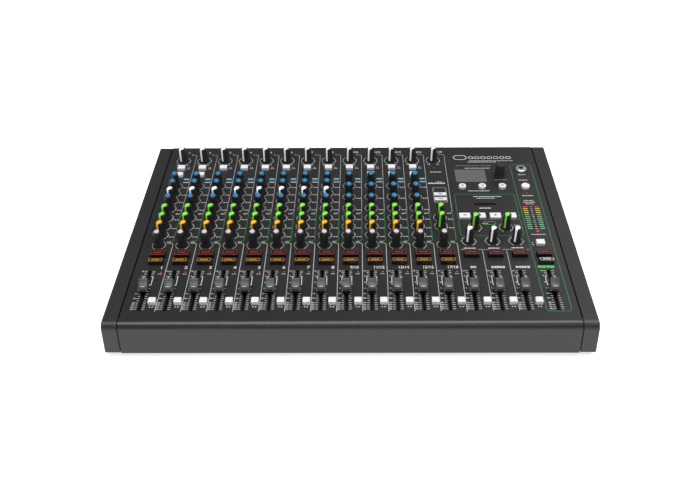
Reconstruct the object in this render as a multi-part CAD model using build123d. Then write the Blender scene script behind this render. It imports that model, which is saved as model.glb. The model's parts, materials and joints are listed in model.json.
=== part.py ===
from build123d import *
import os
from math import cos, radians, sin, tan

# A table-top mixing console: a steel control surface that slopes down to a rounded front apron, between two
# moulded cheeks, over a base pan, with a recessed jack panel along the rear.
# Thirteen input strips, three bus strips and a main fader stand side by side; display, meters and transport
# keys fill the right-hand end. Units are millimetres and degrees.
#
# Row frame: +X to the user's right, +Y away from the user, +Z up, origin under the middle of the console at
# the height of the table. Deck frame: x to the right, y back along the slope from the front bend, z out of
# the control surface; everything on or under the control surface is laid out in it.

# ---- Driving dimensions: the case ---------------------------------------------------------------------
WIDTH = 500.0
DECK_DEPTH = 326.0
TILT = 8.0
DECK_FRONT_Z = 41.0
SKIRT_Z = 5.0
FRONT_BEND_R = 8.5
SHEET = 1.5
CHEEK_WIDTH = 15.8
CHEEK_GAP = 1.0
CHEEK_WALL = 3.0
REAR_RECESS = 8.0
REAR_EDGE_R = 0.8
LIP_DEPTH = 12.0
APRON_OVERLAP = 5.0
PAN_SHEET = 1.2
PAN_WALL_TOP_Z = 34.0
FOOT_R = 9.0
FOOT_X, FOOT_Y = 200.0, 125.0

# ---- Driving dimensions: the layout of the control surface -------------------------------------------
STRIP_PITCH = 26.5
FIRST_STRIP_X = -214.3
MONO_STRIPS = range(0, 8)
STEREO_STRIPS = range(8, 12)
RETURN_STRIP = 12
BUS_STRIPS = range(13, 16)
MAIN_X = 212.5
FADER_MID_Y = 45.25
FADER_TRAVEL = 60.0
FADER_REST_Y = 44.8
GAIN_Y = 294.5
TREBLE_Y = 237.5
MID_Y = 222.0
STEREO_MID_Y = 214.3
MID_FREQ_Y = 206.5
BASS_Y = 191.0
MON1_Y = 172.0
MON2_Y = 155.5
FX_Y = 139.5
PAN_Y = 121.3
LOW_CUT_Y = 277.0
HI_Z_Y = 261.5
EQ_SWITCH_Y = 250.0
MUTE_Y = 102.8
SOLO_Y = 89.6
ASSIGN_Y = 26.0
PEAK_LED_Y = 74.8
STEREO_SEND_LEVEL_Y = 153.0
PHONES_LEVEL_Y = 127.5
SIDE_KEY_DX = 10.8
EQ_SWITCH_DX = 10.5
MUTE_DX = 2.8
FADER_DX = -1.1

# ---- Driving dimensions: the controls -----------------------------------------------------------------
KNOB_BASE_R, KNOB_TOP_R, KNOB_HEIGHT, KNOB_LIFT = 5.1, 4.4, 19.0, 0.4
POINTER_WIDTH, POINTER_PROUD = 2.8, 0.3
ENCODER_R, ENCODER_HEIGHT = 6.5, 17.0
SHAFT_R, SHAFT_INTO_KNOB, SHAFT_BOTTOM = 3.0, 12.0, -9.5
RUNNING_GAP = 0.06
DECK_HOLE_R = 3.6
CAP_WIDTH, CAP_LENGTH, CAP_HEIGHT, CAP_LIFT = 10.4, 13.0, 9.5, 4.2
LEVER_THICK, LEVER_LENGTH, LEVER_BOTTOM = 1.2, 3.4, -8.0
FADER_SLOT_WIDTH, FADER_SLOT_LENGTH = 3.6, 64.4
KEY_GAP = 0.4
KEY_SKIRT = -2.6
STEM_R, STEM_BOTTOM = 1.5, -8.0
KEY_TRAVEL = 1.5
BOARD_TOP, BOARD_THICK = -12.0, 1.6

# ---- Driving dimensions: the rear panel ----------------------------------------------------------------
COMBO_Z, XLR_Z = 46.0, 46.0
XLR_X = (155.0, 183.0)
LINE_IN_Z = (58.0, 36.0)
LINE_OUT_X, LINE_OUT_Z = (120.0, 134.5), (60.0, 42.0, 24.0)
JACK_BORE_R, JACK_BORE_DEPTH = 3.3, 28.0
USB_X, USB_Z = 103.7, 52.0
INLET_X, INLET_Z = 214.0, 31.0
ROCKER_X, ROCKER_Z, ROCKER_TILT = 214.0, 57.0, 8.0
ROCKER_PIN_R, ROCKER_PIVOT_DEPTH = 1.5, 4.0
JACK_DEPTH = 26.0

# ---- Worked-out dimensions ------------------------------------------------------------------------------
BEND_TANGENT = FRONT_BEND_R * tan(radians((90 - TILT) / 2))
FRONT_REACH = BEND_TANGENT * cos(radians(TILT))
REAR_REACH = DECK_DEPTH * cos(radians(TILT))
DEPTH = FRONT_REACH + REAR_REACH
FRONT_Y, REAR_Y = -DEPTH / 2, DEPTH / 2
DECK_Y = FRONT_Y + FRONT_REACH
PANEL_Y = REAR_Y - REAR_RECESS
INNER_X = WIDTH / 2 - CHEEK_WIDTH
DECK_HALF = INNER_X - CHEEK_GAP
DECK = Location(
    Plane((0, DECK_Y, DECK_FRONT_Z), (1, 0, 0), (0, -sin(radians(TILT)), cos(radians(TILT))))
)
DISPLAY_AT, DISPLAY_SIZE = (148.2, 259.7), (38.0, 28.0)
ENCODER_AT = (184.0, 259.0)
SD_AT, SD_OPENING = (159.0, 198.5), (26.0, 3.0)
PHONES_AT = (212.0, 271.0)
PHONES_BORE_R = 3.3
MINI_JACK_AT = (103.7, 275.5)
MINI_BORE_R = 1.8
METER_X, METER_FIRST_Y, METER_STEP, METER_ROWS = (205.2, 219.2), 150.7, 3.88, 12
METER_BAR = (6.0, 1.8)


def strip_x(strip):
    """Centre line of a strip, counted from the left."""
    return FIRST_STRIP_X + STRIP_PITCH * strip


def deck_height(y):
    """Height above the table of the control surface's upper side, at a row-frame y."""
    return DECK_FRONT_Z + (y - DECK_Y) * tan(radians(TILT))


# ---- Where every control stands on the deck: name of the kind, then (x, y) -----------------------------
def gain_places():
    return [(strip_x(s), GAIN_Y) for s in range(RETURN_STRIP + 1)]


def eq_places(strip):
    """The tone knobs of one strip, from the back to the front."""
    if strip in MONO_STRIPS:
        rows = (TREBLE_Y, MID_Y, MID_FREQ_Y, BASS_Y)
    else:
        rows = (TREBLE_Y, STEREO_MID_Y, BASS_Y)
    return [(strip_x(strip), y) for y in rows]


def send_places(strip):
    """The send knobs of one strip."""
    rows = (MON1_Y, MON2_Y) if strip == RETURN_STRIP else (MON1_Y, MON2_Y, FX_Y)
    return [(strip_x(strip), y) for y in rows]


def pan_places():
    return [(strip_x(s), PAN_Y) for s in range(RETURN_STRIP + 1)]


MASTER_SEND_PLACES = [(141.7, STEREO_SEND_LEVEL_Y), (177.5, STEREO_SEND_LEVEL_Y)]
MASTER_LEVEL_PLACES = [(x, PHONES_LEVEL_Y) for x in (132.5, 159.0, 185.3)]
FADER_NAMES = [f"ch{n}" for n in range(1, 9)] + [
    "ch9_10", "ch11_12", "ch13_14", "ch15_16", "ch17_18", "fx", "mon1", "mon2", "main",
]
FADER_X = [strip_x(s) + FADER_DX for s in range(16)] + [MAIN_X]
STRIP_ONE_KNOBS = {
    "gain_knob_ch1": GAIN_Y,
    "treble_knob_ch1": TREBLE_Y,
    "mid_knob_ch1": MID_Y,
    "mid_freq_knob_ch1": MID_FREQ_Y,
    "bass_knob_ch1": BASS_Y,
    "mon1_knob_ch1": MON1_Y,
    "mon2_knob_ch1": MON2_Y,
    "fx_knob_ch1": FX_Y,
    "pan_knob_ch1": PAN_Y,
}
POINTER_REST = {"low": -150.0, "middle": 0.0}


def key_places():
    """Every push button: bank, x, y, width, length, height above the deck, and whether it is round."""
    mute_x = [strip_x(s) + MUTE_DX for s in range(16)] + [MAIN_X]
    keys = [("mute_buttons", x, MUTE_Y, 16.4, 8.6, 5.0, False) for x in mute_x]
    keys += [("solo_buttons", strip_x(s) + MUTE_DX, SOLO_Y, 15.6, 5.6, 5.3, False) for s in range(13)]
    keys += [("strip_buttons", strip_x(s) + SIDE_KEY_DX, ASSIGN_Y, 7.8, 7.8, 4.6, False) for s in range(16)]
    keys += [("strip_buttons", strip_x(s), LOW_CUT_Y, 9.2, 8.0, 3.4, False) for s in range(12)]
    keys += [("strip_buttons", strip_x(s), HI_Z_Y, 9.2, 7.4, 3.4, False) for s in (0, 1, 9, 10, 11)]
    keys += [("eq_buttons", strip_x(s) + EQ_SWITCH_DX, EQ_SWITCH_Y, 7.6, 5.4, 1.4, False) for s in range(12)]
    keys += [("master_buttons", x, 233.8, 9.2, 9.2, 3.2, True) for x in (135.5, 159.7, 184.0)]
    keys += [("master_buttons", x, 174.5, 13.0, 9.4, 2.0, False) for x in (132.6, 150.4, 168.2, 186.0)]
    keys += [("master_buttons", 107.2, y, 15.0, 5.4, 2.0, False) for y in (218.0, 207.8)]
    keys += [("master_buttons", 212.1, 233.4, 10.2, 10.2, 3.4, True)]
    keys += [("master_buttons", 211.7, 123.0, 9.6, 8.4, 3.4, False)]
    keys += [("master_buttons", 212.5, SOLO_Y, 15.6, 5.6, 5.3, False)]
    return keys


def led_places():
    """Single lamps: x, y and radius."""
    lamps = [(strip_x(s) + SIDE_KEY_DX, PEAK_LED_Y, 1.4) for s in range(RETURN_STRIP + 1)]
    return lamps + [(212.3, 244.0, 1.3), (212.3, 221.0, 1.0), (212.6, 146.0, 2.4)]


def meter_places():
    return [(x, METER_FIRST_Y + METER_STEP * n) for x in METER_X for n in range(METER_ROWS)]


# ---- Small helpers -----------------------------------------------------------------------------------------
def block(x0, x1, y0, y1, z0, z1):
    """A box between two corners."""
    return Pos((x0 + x1) / 2, (y0 + y1) / 2, (z0 + z1) / 2) * Box(x1 - x0, y1 - y0, z1 - z0)


def rod(radius, z0, z1, at=(0, 0)):
    """A cylinder along z between two heights."""
    return Pos(at[0], at[1], (z0 + z1) / 2) * Cylinder(radius, z1 - z0)


def rear_rod(radius, y0, y1, x, z):
    """A cylinder along y between two depths."""
    return Pos(x, (y0 + y1) / 2, z) * Rot(90, 0, 0) * Cylinder(radius, y1 - y0)


def group(shapes):
    """Separate solids as one node."""
    return Compound([solid for shape in shapes for solid in shape.solids()])


def side_extrusion(points, x0, x1, rounds=()):
    """A closed outline of (y, z) points drawn out along x; rounds lists (corner index, radius)."""
    face = make_face(Polyline([(y, z) for y, z in points], close=True))
    corners = {n: Vector(y, z) for n, (y, z) in enumerate(points)}
    for index, radius in rounds:
        near = face.vertices().sort_by_distance(corners[index])[0]
        face = fillet(near, radius)
    solid = extrude(face, amount=x1 - x0)
    return Plane((x0, 0, 0), (0, 1, 0), (1, 0, 0)).location * solid


def deck_point(y, z):
    """A deck-frame (y, z) as a row-frame (y, z)."""
    c, s = cos(radians(TILT)), sin(radians(TILT))
    return DECK_Y + y * c - z * s, DECK_FRONT_Z + y * s + z * c


def hole_wire(x, y, width, length, round_hole=False, corner=0.6):
    """The outline of one opening in the control surface."""
    if round_hole:
        return Pos(x, y) * Wire.make_circle(width / 2)
    return Pos(x, y) * RectangleRounded(width, length, corner).wire()


# ---- Case ------------------------------------------------------------------------------------------------------
def control_surface():
    """The sloping sheet with every opening, its rounded front apron with a return lip, and a rear lip."""
    openings = [hole_wire(x, FADER_MID_Y, FADER_SLOT_WIDTH, FADER_SLOT_LENGTH, corner=1.6) for x in FADER_X]
    shafts = gain_places() + pan_places() + MASTER_SEND_PLACES + MASTER_LEVEL_PLACES + [ENCODER_AT]
    for strip in range(RETURN_STRIP + 1):
        shafts += send_places(strip) + (eq_places(strip) if strip != RETURN_STRIP else [])
    openings += [hole_wire(x, y, 2 * DECK_HOLE_R, 0, round_hole=True) for x, y in shafts]
    for _, x, y, width, length, _, is_round in key_places():
        openings.append(hole_wire(x, y, width + 2 * KEY_GAP, length + 2 * KEY_GAP, is_round, 1.0))
    openings += [hole_wire(x, y, 2 * r + 0.3, 0, round_hole=True) for x, y, r in led_places()]
    openings += [hole_wire(x, y, METER_BAR[0] + 0.3, METER_BAR[1] + 0.3, corner=0.3) for x, y in meter_places()]
    openings += [hole_wire(*DISPLAY_AT, *DISPLAY_SIZE), hole_wire(*SD_AT, *SD_OPENING)]
    openings += [hole_wire(*PHONES_AT, 10.0, 0, round_hole=True), hole_wire(*MINI_JACK_AT, 6.4, 0, round_hole=True)]
    outline = Pos(0, DECK_DEPTH / 2) * Rectangle(2 * DECK_HALF, DECK_DEPTH).wire()
    plate = DECK * Pos(0, 0, -SHEET) * extrude(Face(outline, openings), amount=SHEET)

    corner_out = deck_point(-BEND_TANGENT, 0)
    inner_y = FRONT_Y + SHEET
    inner_corner = (inner_y, deck_height(inner_y) - SHEET / cos(radians(TILT)))
    apron = side_extrusion(
        [
            deck_point(APRON_OVERLAP, 0),
            corner_out,
            (FRONT_Y, SKIRT_Z),
            (FRONT_Y + LIP_DEPTH, SKIRT_Z),
            (FRONT_Y + LIP_DEPTH, SKIRT_Z + SHEET),
            (inner_y, SKIRT_Z + SHEET),
            inner_corner,
            deck_point(APRON_OVERLAP, -SHEET),
        ],
        -DECK_HALF,
        DECK_HALF,
        rounds=((1, FRONT_BEND_R), (6, FRONT_BEND_R - SHEET)),
    )
    behind = block(-WIDTH, WIDTH, REAR_Y, REAR_Y + 5, 0, 200)
    screw_holes = [rod(SCREW_HOLE_R, SKIRT_Z - 1, SKIRT_Z + SHEET + 1, at) for at in base_screw_places() if at[1] < 0]
    return plate + apron - behind - screw_holes


def cheek_outline(inset=0.0):
    """The side view of a cheek as (y, z) points, front corner first, moved in by inset on every side."""
    front, rear = FRONT_Y + inset, REAR_Y - inset
    drop = inset / cos(radians(TILT))
    return [
        (front, SKIRT_Z + inset),
        (front, deck_height(front) - drop),
        (rear, deck_height(rear) - drop),
        (rear, SKIRT_Z + inset),
    ]


CHEEK_SCREWS = ((-140.0, 22.0), (0.0, 24.0), (135.0, 24.0))
CHEEK_BOSS_R, SCREW_HOLE_R, SCREW_R, COUNTERBORE_R, COUNTERBORE = 5.0, 1.65, 1.5, 3.5, 4.0


def cheek(side):
    """One moulded end cheek, hollow towards the case, with three screw bosses. side is -1 left, 1 right."""
    outer = side_extrusion(
        cheek_outline(), 0, CHEEK_WIDTH, rounds=((0, 1.5), (1, FRONT_BEND_R), (2, REAR_EDGE_R), (3, 1.5))
    )
    pocket = side_extrusion(cheek_outline(CHEEK_WALL), 0, CHEEK_WIDTH - CHEEK_WALL, rounds=((1, 5.0),))
    body = outer - pocket
    for y, z in CHEEK_SCREWS:
        across = Pos(0, y, z) * Rot(0, 90, 0)
        body += across * Pos(0, 0, CHEEK_WIDTH / 2) * Cylinder(CHEEK_BOSS_R, CHEEK_WIDTH)
        body -= across * Pos(0, 0, CHEEK_WIDTH / 2) * Cylinder(SCREW_HOLE_R, CHEEK_WIDTH)
        body -= across * Pos(0, 0, CHEEK_WIDTH - COUNTERBORE / 2) * Cylinder(COUNTERBORE_R, COUNTERBORE)
    rim = body.faces().filter_by(Axis.X).sort_by(Axis.X)[-1].outer_wire().edges()
    body = chamfer(rim, 0.8)
    body = Pos(INNER_X, 0, 0) * body
    return body if side > 0 else mirror(body, about=Plane.YZ)


def base_screw_places():
    """Screws that come up through the front and rear lips into the base pan."""
    return [(x, y) for x in (-190.0, -70.0, 70.0, 190.0) for y in (FRONT_Y + 8.0, PANEL_Y - 8.0)]


def bottom_pan():
    """The base sheet, with walls turned up at both ends to carry the cheeks."""
    z0, z1 = SKIRT_Z + SHEET, SKIRT_Z + SHEET + PAN_SHEET
    y0, y1 = FRONT_Y + SHEET + 0.3, PANEL_Y - SHEET - 0.3
    pan = block(-INNER_X, INNER_X, y0, y1, z0, z1)
    for side in (-1, 1):
        x0, x1 = sorted((side * INNER_X, side * (INNER_X - PAN_SHEET)))
        pan += block(x0, x1, y0 + 4, y1, z1, PAN_WALL_TOP_Z)
    cuts = [rod(SCREW_HOLE_R, z0 - 1, z1 + 1, at) for at in base_screw_places()]
    for side in (-1, 1):
        for y, z in CHEEK_SCREWS:
            cuts.append(Pos(side * INNER_X, y, z) * Rot(0, 90, 0) * Cylinder(SCREW_HOLE_R, 4 * PAN_SHEET))
    vents = [block(-16 + 9 * n, -12 + 9 * n, -40, 40, z0 - 1, z1 + 1) for n in range(5)]
    return pan - cuts - vents


def combo_places():
    return [(strip_x(s), COMBO_Z) for s in MONO_STRIPS]


def line_jack_places():
    """Quarter-inch sockets: the stereo inputs, then the outputs."""
    inputs = [(strip_x(s), z) for s in STEREO_STRIPS for z in LINE_IN_Z]
    return inputs + [(x, z) for x in LINE_OUT_X for z in LINE_OUT_Z]


def flange_screw_places():
    """The two screws of each large round connector."""
    centres = combo_places() + [(x, XLR_Z) for x in XLR_X]
    return [(x + dx, z + dz) for x, z in centres for dx, dz in ((-9.5, 12.0), (9.5, -12.0))]


def rear_panel():
    """The jack panel: an upright sheet with a top flange under the deck and a lip under the base pan."""
    under = SHEET / cos(radians(TILT))
    inner = PANEL_Y - SHEET
    flange_end = inner - LIP_DEPTH
    top = lambda y: deck_height(y) - under
    profile = [
        (PANEL_Y, SKIRT_Z),
        (PANEL_Y, top(PANEL_Y)),
        (flange_end, top(flange_end)),
        (flange_end, top(flange_end) - SHEET),
        (inner, top(inner) - SHEET),
        (inner, SKIRT_Z + SHEET),
        (inner - LIP_DEPTH, SKIRT_Z + SHEET),
        (inner - LIP_DEPTH, SKIRT_Z),
    ]
    panel = side_extrusion(profile, -DECK_HALF, DECK_HALF)
    y0, y1 = inner - 1, PANEL_Y + 1
    cuts = [rear_rod(12.2, y0, y1, x, z) for x, z in combo_places() + [(x, XLR_Z) for x in XLR_X]]
    cuts += [rear_rod(4.7, y0, y1, x, z) for x, z in line_jack_places()]
    cuts += [rear_rod(SCREW_HOLE_R, y0, y1, x, z) for x, z in flange_screw_places()]
    cuts.append(block(USB_X - 6.3, USB_X + 6.3, y0, y1, USB_Z - 5.8, USB_Z + 5.8))
    cuts.append(block(INLET_X - 13.8, INLET_X + 13.8, y0, y1, INLET_Z - 10.3, INLET_Z + 10.3))
    cuts.append(block(ROCKER_X - 9.9, ROCKER_X + 9.9, y0, y1, ROCKER_Z - 6.9, ROCKER_Z + 6.9))
    cuts += [rod(SCREW_HOLE_R, SKIRT_Z - 1, SKIRT_Z + SHEET + 1, at) for at in base_screw_places() if at[1] > 0]
    return panel - cuts


def rubber_feet():
    """Four feet, tapered a little, stuck under the base pan."""
    foot = chamfer(rod(FOOT_R, 0, SKIRT_Z + SHEET).edges().sort_by(Axis.Z)[0], 1.0)
    return group([Pos(x, y, 0) * foot for x in (-FOOT_X, FOOT_X) for y in (-FOOT_Y, FOOT_Y)])


def screw(length, head_r=3.0, head=1.8):
    """A pan-head screw, head upwards, with its bearing face at z 0."""
    top = fillet(rod(head_r, 0, head).edges().sort_by(Axis.Z)[-1], 0.8)
    return top + rod(SCREW_R, -length, 0.2) - block(-2, 2, -0.3, 0.3, head - 0.7, head + 0.1)


def case_screws():
    """Cheek screws, base screws and the connectors' screws."""
    shapes = []
    for side in (-1, 1):
        for y, z in CHEEK_SCREWS:
            seat = Pos(side * (WIDTH / 2 - COUNTERBORE), y, z) * Rot(0, 90 * side, 0)
            shapes.append(seat * screw(CHEEK_WIDTH - COUNTERBORE + 3))
    for x, y in base_screw_places():
        if y < 0:
            shapes.append(Pos(x, y, SKIRT_Z + SHEET + PAN_SHEET) * screw(SHEET * 3))
        else:
            shapes.append(Pos(x, y, SKIRT_Z) * Rot(180, 0, 0) * screw(SHEET * 3))
    for x, z in flange_screw_places():
        shapes.append(Pos(x, PANEL_Y + 2.0, z) * Rot(-90, 0, 0) * screw(8.0, 2.6, 1.4))
    return group(shapes)


# ---- Under the control surface -------------------------------------------------------------------------------
def control_board():
    """The circuit board under the deck, cut away round the two deep sockets."""
    outline = Pos(0, 154.0) * Rectangle(2 * DECK_HALF - 8, 300.0).wire()
    cuts = [hole_wire(*SD_AT, 31.0, 8.0), hole_wire(*PHONES_AT, 18.0, 18.0)]
    board = extrude(Face(outline, cuts), amount=BOARD_THICK)
    return DECK * Pos(0, 0, BOARD_TOP - BOARD_THICK) * board


def all_knob_places():
    """Every rotary control on a potentiometer, strip one's first."""
    strip_one = [(strip_x(0), y) for y in STRIP_ONE_KNOBS.values()]
    rest = gain_places()[1:] + pan_places()[1:] + MASTER_SEND_PLACES + MASTER_LEVEL_PLACES
    for strip in range(1, RETURN_STRIP + 1):
        rest += send_places(strip) + (eq_places(strip) if strip != RETURN_STRIP else [])
    return strip_one, rest


def rotary_pots():
    """The potentiometers on the board. Those that carry no separately moving knob keep their own shaft."""
    body = block(-4.8, 4.8, -5.4, 5.4, BOARD_TOP, -5.6) + rod(3.9, -5.6, -1.8)
    body -= rod(SHAFT_R + RUNNING_GAP, SHAFT_BOTTOM - 0.3, 0)
    shaft = rod(SHAFT_R, SHAFT_BOTTOM, SHAFT_INTO_KNOB)
    strip_one, rest = all_knob_places()
    shapes = [Pos(x, y, 0) * body for x, y in strip_one + rest + [ENCODER_AT]]
    shapes += [Pos(x, y, 0) * shaft for x, y in rest]
    return DECK * group(shapes)


def slide_pots():
    """One slide potentiometer under each fader slot, open along its top for the lever."""
    body = block(-4.25, 4.25, -37.5, 37.5, BOARD_TOP, -2.4)
    body -= block(-0.9, 0.9, -32.2, 32.2, LEVER_BOTTOM - 0.6, 0)
    return DECK * group([Pos(x, FADER_MID_Y, 0) * body for x in FADER_X])


def push_switches():
    """One switch body on the board under each push button, with a well for the button's stem."""
    body = block(-2.6, 2.6, -2.6, 2.6, BOARD_TOP, -6.0) - rod(STEM_R + 0.2, -10.4, -5.0)
    return DECK * group([Pos(x, y, 0) * body for _, x, y, *_ in key_places()])


def power_supply():
    """The enclosed mains supply on the base pan, with its lid's screws left off."""
    z0 = SKIRT_Z + SHEET + PAN_SHEET
    box = fillet(block(152, 224, -50, 60, z0, z0 + 28).edges().filter_by(Axis.Z), 2.0)
    slots = [block(160 + 8 * n, 163 + 8 * n, -30, 40, z0 + 26, z0 + 29) for n in range(7)]
    return box - slots


def display_screen():
    """The picture panel under the deck and the clear window in the deck's opening."""
    x, y = DISPLAY_AT
    w, l = DISPLAY_SIZE
    module = block(x - w / 2 - 3, x + w / 2 + 3, y - l / 2 - 3, y + l / 2 + 3, -6.5, -SHEET - 0.05)
    window = block(x - w / 2 + 0.15, x + w / 2 - 0.15, y - l / 2 + 0.15, y + l / 2 - 0.15, -SHEET, -0.25)
    return DECK * group([module, window])


def sd_card_slot():
    """The card reader that hangs below the deck, open upwards."""
    x, y = SD_AT
    body = block(x - 14.5, x + 14.5, y - 3.2, y + 3.2, -26.0, -SHEET - 0.05)
    body -= block(x - 12.2, x + 12.2, y - 1.2, y + 1.2, -24.0, 0)
    return DECK * body


def deck_jacks():
    """The headphone socket with its ring nut, and the small aux socket."""
    x, y = PHONES_AT
    phones = block(x - 8, x + 8, y - 8, y + 8, -25.0, -3.0) + rod(4.8, -3.0, 4.2, (x, y))
    phones -= rod(PHONES_BORE_R, -21.0, 5.0, (x, y))
    nut = fillet(rod(7.0, 0, 3.4, (x, y)).edges().sort_by(Axis.Z)[-1], 1.2) - rod(4.8, -1, 5, (x, y))
    u, v = MINI_JACK_AT
    mini = block(u - 3.5, u + 3.5, v - 5.5, v + 4.5, BOARD_TOP, -2.2) + rod(3.0, -2.2, 0.5, (u, v))
    mini -= rod(MINI_BORE_R, BOARD_TOP + 1.5, 1.0, (u, v))
    return DECK * group([phones, nut, mini])


def level_meter():
    """Two columns of light bars that come up flush with the deck."""
    w, l = METER_BAR
    bars = [block(x - w / 2, x + w / 2, y - l / 2, y + l / 2, BOARD_TOP, 0.1) for x, y in meter_places()]
    return DECK * group(bars)


def status_leds():
    """The round lamps: one overload lamp a strip, phantom power, power, and the large solo warning lamp."""
    lamps = []
    for x, y, r in led_places():
        lamps.append(fillet(rod(r, BOARD_TOP, r * 0.5, (x, y)).edges().sort_by(Axis.Z)[-1], r * 0.45))
    return DECK * group(lamps)


# ---- Controls ---------------------------------------------------------------------------------------------------
def knob_body(pointer_deg):
    """A tall tapered knob with a raised pointer; 0 degrees points to the rear, positive is clockwise."""
    z0, z1 = KNOB_LIFT, KNOB_LIFT + KNOB_HEIGHT
    profile = make_face(
        Polyline([(0, z0), (KNOB_BASE_R, z0), (KNOB_BASE_R, z0 + 1.2), (KNOB_TOP_R, z1), (0, z1)], close=True)
    )
    body = revolve(Plane.XZ.location * profile, Axis.Z)
    body = fillet(body.edges().filter_by(GeomType.CIRCLE).sort_by(Axis.Z)[-1], 1.2)
    reach = KNOB_TOP_R + POINTER_PROUD
    rib_profile = [(1.0, z1 - 2), (KNOB_BASE_R - 1, z0 + 1.2), (KNOB_BASE_R + 0.1, z0 + 1.2)]
    rib_profile += [(reach, z1 - 1.4), (reach - 1.4, z1 + POINTER_PROUD), (1.0, z1 + POINTER_PROUD)]
    rib = side_extrusion(rib_profile, -POINTER_WIDTH / 2, POINTER_WIDTH / 2)
    body = body + rib - rod(SHAFT_R, 0, SHAFT_INTO_KNOB)
    return Rot(0, 0, -pointer_deg) * body


def knob_with_shaft(pointer_deg):
    return [knob_body(pointer_deg), rod(SHAFT_R, SHAFT_BOTTOM, SHAFT_INTO_KNOB)]


def knob_bank(places, pointer_deg):
    """Identical knobs set out on the deck as separate solids of one node."""
    knob = knob_body(pointer_deg)
    return [Pos(x, y, 0) * knob for x, y in places]


def strip_one_knob(name):
    """One knob of the first strip with the shaft it turns."""
    resting = "middle" if name.split("_knob")[0] in ("treble", "mid", "bass", "pan") else "low"
    shapes = knob_with_shaft(POINTER_REST[resting])
    return DECK * group([Pos(strip_x(0), STRIP_ONE_KNOBS[name], 0) * s for s in shapes])


def eq_knobs():
    """The tone knobs of strips 2 to 12; the sweep knobs of the mono strips rest at their low end."""
    centred, swept = [], []
    for strip in range(1, RETURN_STRIP):
        for x, y in eq_places(strip):
            (swept if y == MID_FREQ_Y else centred).append((x, y))
    return DECK * group(knob_bank(centred, POINTER_REST["middle"]) + knob_bank(swept, POINTER_REST["low"]))


def send_knobs():
    places = [at for strip in range(1, RETURN_STRIP + 1) for at in send_places(strip)]
    return DECK * group(knob_bank(places + MASTER_SEND_PLACES, POINTER_REST["low"]))


def gain_knobs():
    return DECK * group(knob_bank(gain_places()[1:] + MASTER_LEVEL_PLACES, POINTER_REST["low"]))


def pan_knobs():
    return DECK * group(knob_bank(pan_places()[1:], POINTER_REST["middle"]))


def encoder_knob():
    """The tall plain push encoder beside the display, with a finger dimple near its rim."""
    z1 = KNOB_LIFT + ENCODER_HEIGHT
    body = fillet(rod(ENCODER_R, KNOB_LIFT, z1).edges().sort_by(Axis.Z)[-1], 1.0)
    body -= rod(SHAFT_R, 0, SHAFT_INTO_KNOB)
    body -= Pos(0, ENCODER_R - 2.6, z1 + 2.4) * Sphere(3.0)
    shaft = rod(SHAFT_R, SHAFT_BOTTOM, SHAFT_INTO_KNOB)
    return DECK * group([Pos(*ENCODER_AT, 0) * s for s in (body, shaft)])


def fader(x):
    """A fader cap with a finger hollow across its top, on the flat lever of its slide potentiometer."""
    w, l, z0, z1 = CAP_WIDTH / 2, CAP_LENGTH / 2, CAP_LIFT, CAP_LIFT + CAP_HEIGHT
    profile = [(-l, z0), (-l, z0 + 2.2), (-l + 1.3, z1 - 1.6), (-l + 3.4, z1 - 0.6), (0, z1 - 3.2)]
    profile += [(l - 3.4, z1), (l - 1.3, z1 - 1.0), (l, z0 + 2.2), (l, z0)]
    cap = side_extrusion(profile, -w, w)
    waist = side_extrusion([(-l - 1, z0 + 2.2), (-l - 1, z1 + 1), (l + 1, z1 + 1), (l + 1, z0 + 2.2)], 0, 1.4)
    cap -= [Pos(w - 0.9, 0, 0) * waist, Pos(-w - 0.5, 0, 0) * waist]
    lever = block(-LEVER_THICK / 2, LEVER_THICK / 2, -LEVER_LENGTH / 2, LEVER_LENGTH / 2, LEVER_BOTTOM, z0 + 3)
    return DECK * group([Pos(x, FADER_REST_Y, 0) * s for s in (cap - lever, lever)])


def key(width, length, height, is_round):
    """A push button: cap through the deck, and the stem that reaches into its switch."""
    if is_round:
        cap = rod(width / 2, KEY_SKIRT, height)
    else:
        cap = block(-width / 2, width / 2, -length / 2, length / 2, KEY_SKIRT, height)
        cap = fillet(cap.edges().filter_by(Axis.Z), 0.9)
    cap = fillet(cap.faces().sort_by(Axis.Z)[-1].edges(), 0.5)
    return cap + rod(STEM_R, STEM_BOTTOM, KEY_SKIRT + 0.2)


def button_bank(bank):
    """All push buttons of one bank, as separate solids."""
    made, shapes = {}, []
    for name, x, y, *size in key_places():
        if name == bank:
            shape = made.setdefault(tuple(size), key(*size))
            shapes.append(Pos(x, y, 0) * shape)
    return DECK * group(shapes)


# ---- Rear connectors ----------------------------------------------------------------------------------------------
def connector_flange(x, z):
    """The square flange of a large round connector, lying on the rear panel, with its two screw holes."""
    plate = fillet(
        block(x - 13, x + 13, PANEL_Y, PANEL_Y + 2.0, z - 15.5, z + 15.5).edges().filter_by(Axis.Y), 2.0
    )
    holes = [rear_rod(SCREW_HOLE_R, PANEL_Y - 1, PANEL_Y + 3, x + dx, z + dz) for dx, dz in ((-9.5, 12.0), (9.5, -12.0))]
    return plate - holes


def combo_jacks():
    """Eight input sockets: a quarter-inch bore in the middle of a three-hole face with a ring groove round it."""
    shapes = []
    for x, z in combo_places():
        outer = PANEL_Y + 2.0
        body = connector_flange(x, z) + rear_rod(11.8, PANEL_Y - JACK_DEPTH, PANEL_Y, x, z)
        groove = rear_rod(9.8, outer - 14, outer + 1, x, z) - rear_rod(7.7, outer - 15, outer + 2, x, z)
        body -= [groove, rear_rod(JACK_BORE_R, outer - 24, outer + 1, x, z)]
        for dx, dz in ((-5.3, 1.5), (5.3, 1.5), (0, -5.5)):
            body -= rear_rod(1.0, outer - 10, outer + 1, x + dx, z + dz)
        shapes.append(body)
    return group(shapes)


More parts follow.
